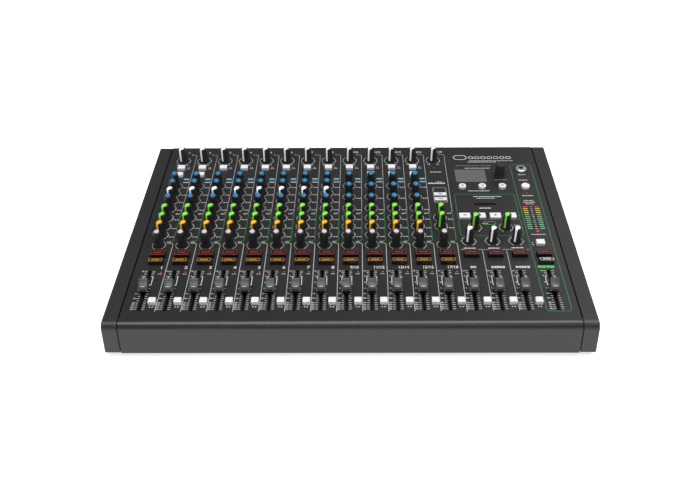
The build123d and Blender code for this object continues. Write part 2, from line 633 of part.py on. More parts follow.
def line_jacks():
    """Quarter-inch sockets with their ring nuts."""
    shapes = []
    for x, z in line_jack_places():
        inner = PANEL_Y - SHEET
        body = block(x - 6.8, x + 6.8, inner - JACK_DEPTH + SHEET, inner, z - 7.5, z + 7.5)
        body += rear_rod(4.5, inner, PANEL_Y + 5.0, x, z)
        body -= rear_rod(JACK_BORE_R, PANEL_Y + 5.0 - JACK_BORE_DEPTH, PANEL_Y + 6, x, z)
        nut = rear_rod(6.2, PANEL_Y, PANEL_Y + 2.4, x, z) - rear_rod(4.5, PANEL_Y - 1, PANEL_Y + 3, x, z)
        shapes += [body, nut]
    return group(shapes)


def xlr_outputs():
    """Two output connectors: a round cup with three pins standing in it."""
    shapes = []
    for x in XLR_X:
        outer = PANEL_Y + 2.0
        body = connector_flange(x, XLR_Z) + rear_rod(11.8, PANEL_Y - JACK_DEPTH, PANEL_Y, x, XLR_Z)
        body -= rear_rod(9.3, outer - 20, outer + 1, x, XLR_Z)
        for dx, dz in ((-3.8, 2.0), (3.8, 2.0), (0, -4.0)):
            body += rear_rod(1.2, outer - 21, outer - 8, x + dx, XLR_Z + dz)
        shapes.append(body)
    return group(shapes)


def usb_port():
    """A square data socket with its contact tongue set back from the mouth."""
    outer = PANEL_Y + 0.6
    shell = block(USB_X - 6, USB_X + 6, PANEL_Y - 16, outer, USB_Z - 5.5, USB_Z + 5.5)
    shell -= block(USB_X - 4.3, USB_X + 4.3, outer - 13, outer + 1, USB_Z - 3.95, USB_Z + 3.95)
    return shell + block(USB_X - 2.8, USB_X + 2.8, outer - 13.5, outer - 5, USB_Z - 1.5, USB_Z + 1.5)


def mains_inlet():
    """The mains inlet with its three flat pins, and the frame that the power rocker turns in."""
    outer = PANEL_Y + 2.0
    inlet = block(INLET_X - 15, INLET_X + 15, PANEL_Y, outer, INLET_Z - 11.5, INLET_Z + 11.5)
    inlet += block(INLET_X - 13.4, INLET_X + 13.4, PANEL_Y - 24, PANEL_Y, INLET_Z - 9.9, INLET_Z + 9.9)
    inlet -= block(INLET_X - 11.8, INLET_X + 11.8, outer - 18, outer + 1, INLET_Z - 7.8, INLET_Z + 7.8)
    for dx, dz in ((-7, -1.5), (7, -1.5), (0, 2.5)):
        x, z = INLET_X + dx, INLET_Z + dz
        inlet += block(x - 1, x + 1, outer - 19, outer - 7, z - 2, z + 2)
    frame = block(ROCKER_X - 11.5, ROCKER_X + 11.5, PANEL_Y, outer, ROCKER_Z - 8.0, ROCKER_Z + 8.0)
    frame += block(ROCKER_X - 9.6, ROCKER_X + 9.6, PANEL_Y - 20, PANEL_Y, ROCKER_Z - 6.6, ROCKER_Z + 6.6)
    frame -= block(ROCKER_X - 8.7, ROCKER_X + 8.7, PANEL_Y - 12, outer + 1, ROCKER_Z - 5.4, ROCKER_Z + 5.4)
    frame -= rod(ROCKER_PIN_R + RUNNING_GAP, ROCKER_Z - 6.2, ROCKER_Z + 6.2, (ROCKER_X, PANEL_Y - ROCKER_PIVOT_DEPTH))
    return group([inlet, frame])


def power_rocker():
    """The rocker, at rest tipped to its off side, with the pivot pin it turns on."""
    top, half, thick = PANEL_Y + 2.6, 7.3, 5.0
    outline = [(-half, top - thick), (half, top - thick), (half, top), (0, top - 1.6), (-half, top)]
    face = make_face(Polyline([(ROCKER_X + x, y) for x, y in outline], close=True))
    body = Pos(0, 0, ROCKER_Z - 4.9) * extrude(face, amount=9.8)
    axis_y = PANEL_Y - ROCKER_PIVOT_DEPTH
    pin = rod(ROCKER_PIN_R, ROCKER_Z - 6.0, ROCKER_Z + 6.0, (ROCKER_X, axis_y))
    ears = rod(2.6, ROCKER_Z - 4.9, ROCKER_Z + 4.9, (ROCKER_X, axis_y))
    return Pos(ROCKER_X, axis_y, 0) * Rot(0, 0, -ROCKER_TILT) * Pos(-ROCKER_X, -axis_y, 0) * (body + pin + ears)


def jack_board():
    """The upright board that the rear sockets are soldered to."""
    y1 = PANEL_Y - JACK_DEPTH - 0.05
    return block(-228, 196, y1 - BOARD_THICK, y1, 12, 66)


def build_nodes():
    """Every node of the console by name."""
    nodes = {
        "control_surface": control_surface(),
        "left_cheek": cheek(-1),
        "right_cheek": cheek(1),
        "bottom_pan": bottom_pan(),
        "rear_panel": rear_panel(),
        "rubber_feet": rubber_feet(),
        "case_screws": case_screws(),
        "control_board": control_board(),
        "jack_board": jack_board(),
        "rotary_pots": rotary_pots(),
        "slide_pots": slide_pots(),
        "push_switches": push_switches(),
        "power_supply": power_supply(),
        "display_screen": display_screen(),
        "sd_card_slot": sd_card_slot(),
        "deck_jacks": deck_jacks(),
        "level_meter": level_meter(),
        "status_leds": status_leds(),
        "combo_jacks": combo_jacks(),
        "line_jacks": line_jacks(),
        "xlr_outputs": xlr_outputs(),
        "usb_port": usb_port(),
        "mains_inlet": mains_inlet(),
        "power_rocker": power_rocker(),
        "gain_knobs": gain_knobs(),
        "eq_knobs": eq_knobs(),
        "send_knobs": send_knobs(),
        "pan_knobs": pan_knobs(),
        "encoder_knob": encoder_knob(),
    }
    nodes |= {name: strip_one_knob(name) for name in STRIP_ONE_KNOBS}
    nodes |= {f"fader_{name}": fader(x) for name, x in zip(FADER_NAMES, FADER_X)}
    for bank in ("mute_buttons", "solo_buttons", "strip_buttons", "eq_buttons", "master_buttons"):
        nodes[bank] = button_bank(bank)
    return nodes


def main():
    os.makedirs("parts", exist_ok=True)
    for name, shape in build_nodes().items():
        export_step(shape, f"parts/{name}.step")


if __name__ == "__main__":
    main()
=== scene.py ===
"""A table-top mixing console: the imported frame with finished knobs, faders, keys, lamps and printing.

Sizes are millimetres in the deck frame (x right, y back along the slope, z out of the control surface)
until a piece is placed; placed pieces are metres in the row frame, like the CAD nodes.
"""

import json
import logging
import math
from dataclasses import dataclass, field
from enum import Enum
from typing import Any, Dict, Iterable, List, Optional, Sequence, Tuple

import bmesh
import bpy
from mathutils import Matrix, Vector

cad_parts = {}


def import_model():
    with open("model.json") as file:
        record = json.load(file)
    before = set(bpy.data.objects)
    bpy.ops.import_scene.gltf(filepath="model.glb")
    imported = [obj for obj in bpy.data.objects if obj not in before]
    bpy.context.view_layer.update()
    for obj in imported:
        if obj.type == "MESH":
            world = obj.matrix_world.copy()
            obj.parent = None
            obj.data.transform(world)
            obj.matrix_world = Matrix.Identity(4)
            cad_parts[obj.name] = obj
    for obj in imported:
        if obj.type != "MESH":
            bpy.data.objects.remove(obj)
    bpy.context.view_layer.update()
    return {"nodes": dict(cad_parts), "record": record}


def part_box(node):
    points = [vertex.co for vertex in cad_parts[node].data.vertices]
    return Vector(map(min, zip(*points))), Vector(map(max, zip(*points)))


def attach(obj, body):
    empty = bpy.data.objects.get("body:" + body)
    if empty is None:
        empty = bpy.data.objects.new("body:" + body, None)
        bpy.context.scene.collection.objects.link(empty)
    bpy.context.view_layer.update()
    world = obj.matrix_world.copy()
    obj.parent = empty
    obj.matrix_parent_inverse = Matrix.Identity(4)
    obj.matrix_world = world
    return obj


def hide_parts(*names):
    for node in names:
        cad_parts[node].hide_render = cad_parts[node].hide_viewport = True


log = logging.getLogger("console")
MM = 0.001
INK_THICK = 0.07
Point2 = Tuple[float, float]
Point3 = Tuple[float, float, float]
Colour = Tuple[float, float, float]
Ring = List[Point3]


# ---- Layout of the control surface -------------------------------------------------------------------


@dataclass(frozen=True)
class Deck:
    """The sloping control surface as a plane, and the rows and columns that the controls stand on."""

    tilt_deg: float = 8.0
    front_height: float = 41.0
    bend_radius: float = 8.5
    half_depth: float = 165.07
    first_strip: float = -214.3
    pitch: float = 26.5
    main_x: float = 212.5
    fader_rest: float = 44.8
    fader_shift: float = -1.1
    gain_row: float = 294.5
    mono_rows: Tuple[float, ...] = (237.5, 222.0, 206.5, 191.0)
    paired_rows: Tuple[float, ...] = (237.5, 214.3, 191.0)
    send_rows: Tuple[float, ...] = (172.0, 155.5, 139.5)
    pan_row: float = 121.3

    def strip(self, number: int) -> float:
        """Centre line of a strip, counted from the left."""
        return self.first_strip + self.pitch * number

    def placing(self) -> Matrix:
        """Matrix from deck millimetres to row metres."""
        tilt = math.radians(self.tilt_deg)
        reach = self.bend_radius * math.tan((math.pi / 2 - tilt) / 2) * math.cos(tilt)
        at = Matrix.Translation((0.0, (reach - self.half_depth) * MM, self.front_height * MM))
        return at @ Matrix.Rotation(tilt, 4, "X") @ Matrix.Scale(MM, 4)

    def faders(self) -> Dict[str, float]:
        """Name and centre line of every fader."""
        names = [f"ch{n}" for n in range(1, 9)]
        names += ["ch9_10", "ch11_12", "ch13_14", "ch15_16", "ch17_18", "fx", "mon1", "mon2"]
        places = {name: self.strip(n) + self.fader_shift for n, name in enumerate(names)}
        places["main"] = self.main_x
        return places


# ---- Shader expressions and finishes -----------------------------------------------------------------


class Signal:
    """A shader socket that takes part in arithmetic; each operation adds its Math node."""

    def __init__(self, tree: bpy.types.NodeTree, socket: bpy.types.NodeSocket) -> None:
        """Args: tree: the node tree; socket: the output that carries the value."""
        self.tree = tree
        self.socket = socket

    def _math(self, operation: str, left: Any, right: Any, clamp: bool = False) -> "Signal":
        """One Math node.

        Args:
            operation: the node's operation.
            left: first value, a number or a Signal.
            right: second value, a number or a Signal.
            clamp: keep the result between 0 and 1.

        Returns:
            The result as a Signal.
        """
        node = self.tree.nodes.new("ShaderNodeMath")
        node.operation = operation
        node.use_clamp = clamp
        for slot, value in zip(node.inputs, (left, right)):
            if isinstance(value, Signal):
                self.tree.links.new(value.socket, slot)
            else:
                slot.default_value = value
        return Signal(self.tree, node.outputs[0])

    def __add__(self, other: Any) -> "Signal":
        """Sum."""
        return self._math("ADD", self, other)

    __radd__ = __add__

    def __sub__(self, other: Any) -> "Signal":
        """Difference."""
        return self._math("SUBTRACT", self, other)

    def __rsub__(self, other: Any) -> "Signal":
        """Reflected difference."""
        return self._math("SUBTRACT", other, self)

    def __mul__(self, other: Any) -> "Signal":
        """Product."""
        return self._math("MULTIPLY", self, other)

    __rmul__ = __mul__

    def __gt__(self, other: Any) -> "Signal":
        """1 where this is greater."""
        return self._math("GREATER_THAN", self, other)

    def limited(self) -> "Signal":
        """This value kept between 0 and 1."""
        return self._math("ADD", self, 0.0, clamp=True)


class Paint:
    """Builds one material's node tree round a Principled shader."""

    def __init__(self, name: str) -> None:
        """Args: name: the material's name."""
        self.material = bpy.data.materials.new(name)
        self.material.use_nodes = True
        self.tree = self.material.node_tree
        self.tree.nodes.clear()
        self.shader = self.node("ShaderNodeBsdfPrincipled")
        output = self.node("ShaderNodeOutputMaterial")
        self.tree.links.new(self.shader.outputs[0], output.inputs[0])
        self.place = self.node("ShaderNodeTexCoord").outputs["Object"]

    def node(self, kind: str, settings: Optional[Dict[str, Any]] = None, **sockets: Any) -> bpy.types.Node:
        """Any node, its settings first and then its sockets.

        Args:
            kind: the node's type.
            settings: attribute values, such as an operation.
            sockets: values, Signals or sockets by input name, with _ for a space.

        Returns:
            The node.
        """
        node = self.tree.nodes.new(kind)
        for key, value in (settings or {}).items():
            setattr(node, key, value)
        for key, value in sockets.items():
            self.feed(node.inputs[key.replace("_", " ")], value)
        return node

    def feed(self, slot: bpy.types.NodeSocket, value: Any) -> None:
        """Sets or links one input socket."""
        if isinstance(value, Signal):
            self.tree.links.new(value.socket, slot)
        elif isinstance(value, bpy.types.NodeSocket):
            self.tree.links.new(value, slot)
        else:
            slot.default_value = value

    def mapped(self, stretch: Tuple[float, float, float]) -> bpy.types.NodeSocket:
        """Object coordinates scaled per axis."""
        node = self.node("ShaderNodeMapping", Vector=self.place)
        node.inputs["Scale"].default_value = stretch
        return node.outputs[0]

    def noise(
        self, size: float, detail: float = 2.0, stretch: Tuple[float, float, float] = (1, 1, 1)
    ) -> Signal:
        """Noise with features of a size.

        Args:
            size: feature size in metres.
            detail: octaves.
            stretch: extra scale on each axis.

        Returns:
            The noise value about 0.5.
        """
        node = self.node("ShaderNodeTexNoise", Vector=self.mapped(stretch), Scale=1.0 / size, Detail=detail)
        return Signal(self.tree, node.outputs[0])

    def cells(self, size: float, stretch: Tuple[float, float, float] = (1, 1, 1)) -> Signal:
        """Distance to the nearest cell point, for a pitted or leathery grain."""
        node = self.node("ShaderNodeTexVoronoi", Vector=self.mapped(stretch), Scale=1.0 / size)
        return Signal(self.tree, node.outputs["Distance"])

    def axis(self, name: str) -> Signal:
        """One Object coordinate in metres."""
        node = self.node("ShaderNodeSeparateXYZ", Vector=self.place)
        return Signal(self.tree, node.outputs[name])

    def blend(self, factor: Any, first: Any, second: Any) -> bpy.types.NodeSocket:
        """A colour between two colours.

        Args:
            factor: number or Signal, 0 for the first.
            first: colour or socket.
            second: colour or socket.

        Returns:
            The mixed colour's socket.
        """
        node = self.node("ShaderNodeMix", {"data_type": "RGBA"})
        self.feed(node.inputs[0], factor)
        for slot, value in ((node.inputs[6], first), (node.inputs[7], second)):
            self.feed(slot, (*value, 1.0) if isinstance(value, tuple) else value)
        return node.outputs[2]

    def bumped(self, height: Signal, depth: float, strength: float = 1.0) -> None:
        """Feeds the shader's normal from a height.

        Args:
            height: the height signal.
            depth: relief in metres.
            strength: how much of it shows.
        """
        node = self.node("ShaderNodeBump", Height=height, Strength=strength, Distance=depth)
        self.feed(self.shader.inputs["Normal"], node.outputs[0])

    def set(self, **sockets: Any) -> "Paint":
        """Sets the Principled shader's inputs by name, with _ for a space."""
        for key, value in sockets.items():
            name = key.replace("_", " ")
            wide = isinstance(value, tuple) and len(value) == 3
            self.feed(self.shader.inputs[name], (*value, 1.0) if wide else value)
        return self


@dataclass(frozen=True)
class PowderCoat:
    """Fine textured paint baked on sheet steel, with faint handling marks."""

    name: str
    colour: Colour
    roughness: float = 0.5
    grain: float = 0.00055
    relief: float = 0.00004

    def make(self) -> bpy.types.Material:
        """Returns: the material."""
        paint = Paint(self.name)
        grain = paint.noise(self.grain, 3.0)
        broad = paint.noise(0.06, 2.0)
        light = tuple(c * 1.35 for c in self.colour)
        dark = tuple(c * 0.78 for c in self.colour)
        shade = (grain - 0.5) * 1.1 + 0.5 + (broad - 0.5) * 0.35
        paint.set(Base_Color=paint.blend(shade.limited(), dark, light))
        paint.set(Roughness=(broad * 0.10 + (self.roughness - 0.05)), Specular_IOR_Level=0.42)
        paint.bumped(grain, self.relief, 0.55)
        return paint.material


@dataclass(frozen=True)
class Moulding:
    """Moulded plastic: spark-eroded grain, slight tone drift, a dull or a polished skin, and on some pieces a
    painted glow.
    """

    name: str
    colour: Colour
    roughness: float = 0.42
    grain: float = 0.0007
    relief: float = 0.00003
    coat: float = 0.0
    # glow is painted light: emission that brightens a plastic piece as if more light fell on it; it is no lamp.
    glow: float = 0.0

    def make(self) -> bpy.types.Material:
        """Returns: the material."""
        paint = Paint(self.name)
        cells = paint.cells(self.grain)
        drift = paint.noise(0.018, 2.0)
        light = tuple(min(1.0, c * 1.18) for c in self.colour)
        dark = tuple(c * 0.86 for c in self.colour)
        tone = paint.blend((drift * 0.8 + cells * 0.25).limited(), dark, light)
        # The emission is painted glow, lightening the piece's shaded faces as if lit more strongly.
        paint.set(Base_Color=tone, Emission_Color=tone, Emission_Strength=self.glow)
        paint.set(Roughness=(cells * 0.08 + drift * 0.06 + (self.roughness - 0.07)))
        paint.set(Coat_Weight=self.coat, Coat_Roughness=0.12, Specular_IOR_Level=0.45)
        paint.bumped(cells, self.relief, 0.5)
        return paint.material


@dataclass(frozen=True)
class Ink:
    """Screen-printed ink, a little uneven in cover."""

    name: str
    colour: Colour
    cover: float = 0.88

    def make(self) -> bpy.types.Material:
        """Returns: the material."""
        paint = Paint(self.name)
        speck = paint.noise(0.0009, 2.0)
        thin = tuple(c * self.cover * 0.82 for c in self.colour)
        paint.set(Base_Color=paint.blend(speck.limited(), thin, self.colour))
        paint.set(Roughness=speck * 0.2 + 0.42)
        paint.bumped(speck, 0.00001, 0.3)
        return paint.material


@dataclass(frozen=True)
class Foam:
    """Black with a foam grain and no sheen, painted into the seams as shade; it swallows nearly all the light
    that reaches it.
    """

    name: str
    colour: Colour

    def make(self) -> bpy.types.Material:
        """Returns: the material."""
        paint = Paint(self.name)
        cells = paint.noise(0.0006, 3.0)
        pale = tuple(c * 1.8 for c in self.colour)
        paint.set(Base_Color=paint.blend(cells.limited(), self.colour, pale), Specular_IOR_Level=0.0)
        paint.set(Roughness=cells * 0.1 + 0.88)
        paint.bumped(cells, 0.00008, 0.4)
        return paint.material


@dataclass(frozen=True)
class Lamp:
    """A tinted lens that glows a little, brighter in its middle tones."""

    name: str
    colour: Colour
    glow: float = 0.3

    def make(self) -> bpy.types.Material:
        """Returns: the material."""
        paint = Paint(self.name)
        facet = paint.cells(0.0011)
        deep = tuple(c * 0.55 for c in self.colour)
        tone = paint.blend((facet * 1.2).limited(), self.colour, deep)
        paint.set(Base_Color=tone, Emission_Color=tone, Emission_Strength=self.glow)
        paint.set(Roughness=facet * 0.1 + 0.16, Coat_Weight=0.4, Coat_Roughness=0.08)
        paint.bumped(facet, 0.00002, 0.25)
        return paint.material


@dataclass(frozen=True)
class Metal:
    """Plated or drawn metal with fine running marks."""

    name: str
    colour: Colour
    roughness: float = 0.28
    run: Tuple[float, float, float] = (1.0, 1.0, 12.0)

    def make(self) -> bpy.types.Material:
        """Returns: the material."""
        paint = Paint(self.name)
        marks = paint.noise(0.0012, 3.0, self.run)
        smear = paint.noise(0.015, 2.0)
        dull = tuple(c * 0.72 for c in self.colour)
        paint.set(Base_Color=paint.blend((smear * 0.7).limited(), self.colour, dull), Metallic=1.0)
        paint.set(Roughness=marks * 0.14 + smear * 0.08 + (self.roughness - 0.11))
        paint.bumped(marks, 0.00001, 0.3)
        return paint.material


@dataclass(frozen=True)
class BoardMask:
    """Solder mask over copper runs and pads."""

    name: str
    colour: Colour = (0.008, 0.075, 0.03)

    def make(self) -> bpy.types.Material:
        """Returns: the material."""
        paint = Paint(self.name)
        runs = paint.noise(0.004, 1.0, (3.0, 1.0, 1.0)) > 0.54
        pads = paint.cells(0.006) * -1.0 > -0.17
        copper = tuple(c * 1.9 for c in self.colour)
        mask = paint.blend(runs, self.colour, copper)
        paint.set(Base_Color=paint.blend(pads, mask, (0.50, 0.50, 0.47)))
        paint.set(Metallic=pads * 0.8, Roughness=pads * -0.12 + 0.42)
        paint.bumped(runs, 0.00003, 0.5)
        return paint.material


@dataclass(frozen=True)
class ScreenPanel:
    """The unlit picture panel behind its window: a soft grey with painted light that lightens it towards the
    front, and a faint painted glow.
    """

    name: str
    colour: Colour = (0.079, 0.079, 0.082)

    def make(self) -> bpy.types.Material:
        """Returns: the material."""
        paint = Paint(self.name)
        # Painted light: the panel is lightened towards the front as if more light fell there.
        painted_front_light = paint.axis("Y") * -9.0 + 1.35
        haze = paint.noise(0.02, 2.0)
        light = tuple(c * 1.5 for c in self.colour)
        tone = paint.blend((painted_front_light * 0.7 + haze * 0.3).limited(), self.colour, light)
        # The emission is a painted glow on an unlit screen.
        paint.set(Base_Color=tone, Emission_Color=tone, Emission_Strength=0.25)
        paint.set(Roughness=haze * 0.08 + 0.10, Coat_Weight=0.5, Coat_Roughness=0.05)
        return paint.material


class Finish(Enum):
    """Every finish of the console by its own piece or use."""

    DECK = PowderCoat("deck_powder_coat", (0.0190, 0.0190, 0.0195), 0.31)
    REAR = PowderCoat("rear_panel_powder_coat", (0.0165, 0.0165, 0.0170), 0.45)
    PAN = PowderCoat("base_pan_powder_coat", (0.014, 0.014, 0.015), 0.6)
    CHEEK = Moulding("cheek_moulding", (0.0200, 0.0200, 0.0209), 0.42, 0.0011, 0.00005)
    # Painted shade: a black without gloss that darkens the seams between the deck and the cheeks.
    SEAL = Foam("seam_painted_shade", (0.0012, 0.0012, 0.0012))
    RUBBER = Moulding("foot_rubber", (0.010, 0.010, 0.010), 0.8, 0.0006, 0.00006)
    KNOB = Moulding("knob_black", (0.0215, 0.0215, 0.0226), 0.38, 0.0004, 0.000003)
    ENCODER = Moulding("encoder_black", (0.0230, 0.0230, 0.0240), 0.42, 0.0008, 0.00002)
    CAP = Moulding("fader_cap_grey", (0.057, 0.057, 0.060), 0.42, 0.0008, 0.00003)
    # Painted highlight: the lighter grey of the cap's front corner lugs stands in for light catching them.
    CAP_FOOT = Moulding("fader_foot_painted_highlight", (0.20, 0.20, 0.205), 0.4, 0.0008, 0.00003)
    LEVER = Metal("fader_lever_steel", (0.42, 0.42, 0.42), 0.35)
    # Painted glow on the white, green and amber inserts: it brightens their shaded sides as if lit more strongly.
    WHITE_INSERT = Moulding("insert_white", (0.78, 0.78, 0.80), 0.35, 0.0009, 0.00001, 0.0, 0.32)
    PALE_INSERT = Moulding("insert_pale_grey", (0.55, 0.55, 0.57), 0.38, 0.0009, 0.00001)
    BLUE_INSERT = Moulding("insert_blue", (0.006, 0.225, 0.520), 0.35, 0.0009, 0.00001)
    GREEN_INSERT = Moulding("insert_green", (0.180, 0.600, 0.045), 0.35, 0.0009, 0.00001, 0.0, 0.28)
    AMBER_INSERT = Moulding("insert_amber", (0.86, 0.39, 0.006), 0.35, 0.0009, 0.00001, 0.0, 0.22)
    # Painted glow on the white keys, lightening them beyond what the lights give.
    WHITE_KEY = Moulding("key_white", (0.60, 0.60, 0.62), 0.38, 0.0009, 0.00001, 0.1, 0.13)
    RED_KEY = Moulding("key_dark_red", (0.017, 0.0040, 0.0034), 0.34, 0.0009, 0.00001, 0.1)
    AMBER_KEY = Moulding("key_dark_amber", (0.015, 0.009, 0.003), 0.30, 0.0009, 0.00001, 0.2)
    TEAL_KEY = Moulding("key_teal", (0.009, 0.080, 0.125), 0.30, 0.0009, 0.00001, 0.2)
    DARK_KEY = Moulding("key_dark", (0.012, 0.012, 0.014), 0.30, 0.0009, 0.00001, 0.2)
    RED_LEGEND = Ink("legend_red", (0.30, 0.030, 0.017))
    AMBER_LEGEND = Ink("legend_amber", (0.62, 0.29, 0.015))
    WHITE_INK = Ink("ink_white", (0.62, 0.62, 0.62))
    BRIGHT_INK = Ink("ink_bright", (0.80, 0.80, 0.80))
    GREY_INK = Ink("ink_grey", (0.48, 0.48, 0.48))
    GREEN_INK = Ink("ink_green", (0.035, 0.26, 0.075))
    BRIGHT_GREEN_INK = Ink("ink_bright_green", (0.09, 0.56, 0.12))
    PALE_BLUE_LEGEND = Ink("legend_pale_blue", (0.36, 0.55, 0.66))
    DARK_INK = Ink("ink_dark", (0.012, 0.012, 0.014))
    RED_LAMP = Lamp("lamp_red", (0.42, 0.012, 0.06), 0.35)
    METER_RED = Lamp("meter_red", (0.60, 0.05, 0.05), 0.5)
    METER_YELLOW = Lamp("meter_yellow", (0.66, 0.50, 0.09), 0.5)
    METER_GREEN = Lamp("meter_green", (0.20, 0.42, 0.26), 0.5)
    BLACK_PLASTIC = Moulding("socket_black", (0.010, 0.010, 0.010), 0.4, 0.0007, 0.00002)
    GLOSS_BLACK = Moulding("rocker_black", (0.008, 0.008, 0.008), 0.2, 0.0009, 0.00001, 0.5)
    CHROME = Metal("socket_chrome", (0.86, 0.86, 0.87), 0.36)
    STEEL = Metal("control_steel", (0.50, 0.50, 0.49), 0.35)
    SCREW = Metal("screw_black_zinc", (0.055, 0.055, 0.06), 0.35)
    ALUMINIUM = Metal("supply_aluminium", (0.60, 0.60, 0.61), 0.4)
    BOARD = BoardMask("board_mask")
    SCREEN = ScreenPanel("screen_panel")

    def material(self) -> bpy.types.Material:
        """Returns: the finish's one material, made at first use."""
        found = bpy.data.materials.get(self.value.name)
        return found or self.value.make()


# ---- Mesh tools --------------------------------------------------------------------------------------


class Workshop:
    """Makes meshes in deck millimetres and sets finished pieces down in the row frame."""

    def __init__(self, deck: Deck, slots: Dict[str, str]) -> None:
        """Args: deck: the deck's layout; slots: each CAD node's material slot."""
        self.deck = deck
        self.slots = slots
        self.count = 0

    def rings(self, rings: Sequence[Ring], top: bool = True, bottom: bool = True) -> bmesh.types.BMesh:
        """A closed skin over rings of equal length.

        Args:
            rings: rings from the bottom up, each counter-clockwise seen from above.
            top: close the last ring.
            bottom: close the first ring.

        Returns:
            The mesh under work.
        """
        bm = bmesh.new()
        rows = [[bm.verts.new(p) for p in ring] for ring in rings]
        count = len(rows[0])
        for low, high in zip(rows, rows[1:]):
            for n in range(count):
                m = (n + 1) % count
                bm.faces.new((low[n], low[m], high[m], high[n]))
        if top:
            bm.faces.new(rows[-1])
        if bottom:
            bm.faces.new(list(reversed(rows[0])))
        return bm

    def slab(self, bm: bmesh.types.BMesh, outline: Sequence[Point2], z0: float, z1: float) -> None:
        """Adds a prism with a convex or simple outline, counter-clockwise, to a mesh under work."""
        low = [bm.verts.new((x, y, z0)) for x, y in outline]
        high = [bm.verts.new((x, y, z1)) for x, y in outline]
        bm.faces.new(high)
        bm.faces.new(list(reversed(low)))
        for n in range(len(low)):
            m = (n + 1) % len(low)
            bm.faces.new((low[n], low[m], high[m], high[n]))

    def source(self, bm: bmesh.types.BMesh, name: str, smooth_deg: float = 35.0) -> bpy.types.Object:
        """Turns a mesh under work into an object to repeat or to place.

        Args:
            bm: the mesh under work, freed here.
            name: the object's name.
            smooth_deg: edges sharper than this stay sharp.

        Returns:
            The object, still in deck millimetres.
        """
        bmesh.ops.recalc_face_normals(bm, faces=bm.faces)
        for face in bm.faces:
            face.smooth = True
        for edge in bm.edges:
            if len(edge.link_faces) == 2 and edge.calc_face_angle(0.0) > math.radians(smooth_deg):
                edge.smooth = False
        mesh = bpy.data.meshes.new(name)
        bm.to_mesh(mesh)
        bm.free()
        made = bpy.data.objects.new(name, mesh)
        bpy.context.scene.collection.objects.link(made)
        return made

    def joined(self, name: str, parts: Iterable[bpy.types.Object]) -> bpy.types.Object:
        """One object from several of one finish."""
        bm = bmesh.new()
        for part in parts:
            bm.from_mesh(part.data)
            bpy.data.objects.remove(part)
        mesh = bpy.data.meshes.new(name)
        bm.to_mesh(mesh)
        bm.free()
        made = bpy.data.objects.new(name, mesh)
        bpy.context.scene.collection.objects.link(made)
        return made

    def repeated(
        self,
        name: str,
        source: bpy.types.Object,
        places: Sequence[Point2],
        finish: Finish,
        turn_deg: float = 0.0,
    ) -> bpy.types.Object:
        """Sets a source object on every place with Geometry Nodes and keeps the plain result.

        Args:
            name: the new object's name.
            source: what is repeated; removed afterwards.
            places: deck positions.
            finish: the finish of the result.
            turn_deg: clockwise turn of every copy, seen from above.

        Returns:
            The new object, in deck millimetres.
        """
        points = bpy.data.meshes.new(name + "_places")
        points.from_pydata([(x, y, 0.0) for x, y in places], [], [])
        holder = bpy.data.objects.new(name, points)
        bpy.context.scene.collection.objects.link(holder)
        tree = repeat_tree()
        modifier = holder.modifiers.new("repeat", "NODES")
        modifier.node_group = tree
        sockets = {s.name: s.identifier for s in tree.interface.items_tree if s.in_out == "INPUT"}
        modifier[sockets["Piece"]] = source
        modifier[sockets["Turn"]] = -math.radians(turn_deg)
        modifier[sockets["Finish"]] = finish.material()
        mesh = self.plain(holder, name)
        holder.modifiers.clear()
        holder.data = mesh
        bpy.data.meshes.remove(points)
        bpy.data.objects.remove(source)
        return holder

    def plain(self, made: bpy.types.Object, name: str) -> bpy.types.Mesh:
        """The evaluated mesh of an object, on its own."""
        graph = bpy.context.evaluated_depsgraph_get()
        graph.update()
        mesh = bpy.data.meshes.new_from_object(made.evaluated_get(graph), depsgraph=graph)
        mesh.name = name
        return mesh

    def lettering(
        self,
        name: str,
        text: str,
        size: float,
        at: Point2,
        align: str = "CENTER",
        wide: float = 1.15,
        bold: float = 0.06,
    ) -> bpy.types.Object:
        """Raised figures as a plain mesh, standing on the deck.

        Args:
            name: object name.
            text: generic figures only.
            size: height of the line in millimetres.
            at: where its middle or end stands.
            align: LEFT, CENTER or RIGHT.
            wide: width share of the figures.
            bold: how far the outline is moved out.

        Returns:
            The object in deck millimetres.
        """
        curve = bpy.data.curves.new(name, "FONT")
        curve.body = text
        curve.size = size
        curve.align_x = align
        curve.align_y = "CENTER"
        curve.extrude = 0.03
        curve.offset = bold
        curve.resolution_u = 2
        text_object = bpy.data.objects.new(name, curve)
        bpy.context.scene.collection.objects.link(text_object)
        mesh = self.plain(text_object, name)
        bpy.data.objects.remove(text_object)
        mesh.transform(Matrix.Translation((at[0], at[1], 0.04)) @ Matrix.Diagonal((wide, 1.0, 1.0, 1.0)))
        made = bpy.data.objects.new(name, mesh)
        bpy.context.scene.collection.objects.link(made)
        return made

    def finish(
        self,
        made: bpy.types.Object,
        body: str,
        finish: Finish,
        slot: str,
        replaces: Sequence[str] = (),
        on_deck: bool = True,
    ) -> bpy.types.Object:
        """Places a piece, dresses it and fastens it to its body.

        Args:
            made: the object, in deck millimetres unless on_deck is false.
            body: the CAD body that it rides on.
            finish: its finish.
            slot: the record's material slot; not used.
            replaces: CAD nodes that it stands for.
            on_deck: false if the mesh is in row metres already.

        Returns:
            The placed piece.
        """
        if on_deck:
            made.data.transform(self.deck.placing())
        made.data.materials.clear()
        made.data.materials.append(finish.material())
        for polygon in made.data.polygons:
            polygon.material_index = 0
        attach(made, body)
        if replaces:
            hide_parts(*replaces)
        self.count += 1
        log.info("%s: %d faces on %s", made.name, len(made.data.polygons), body)
        return made


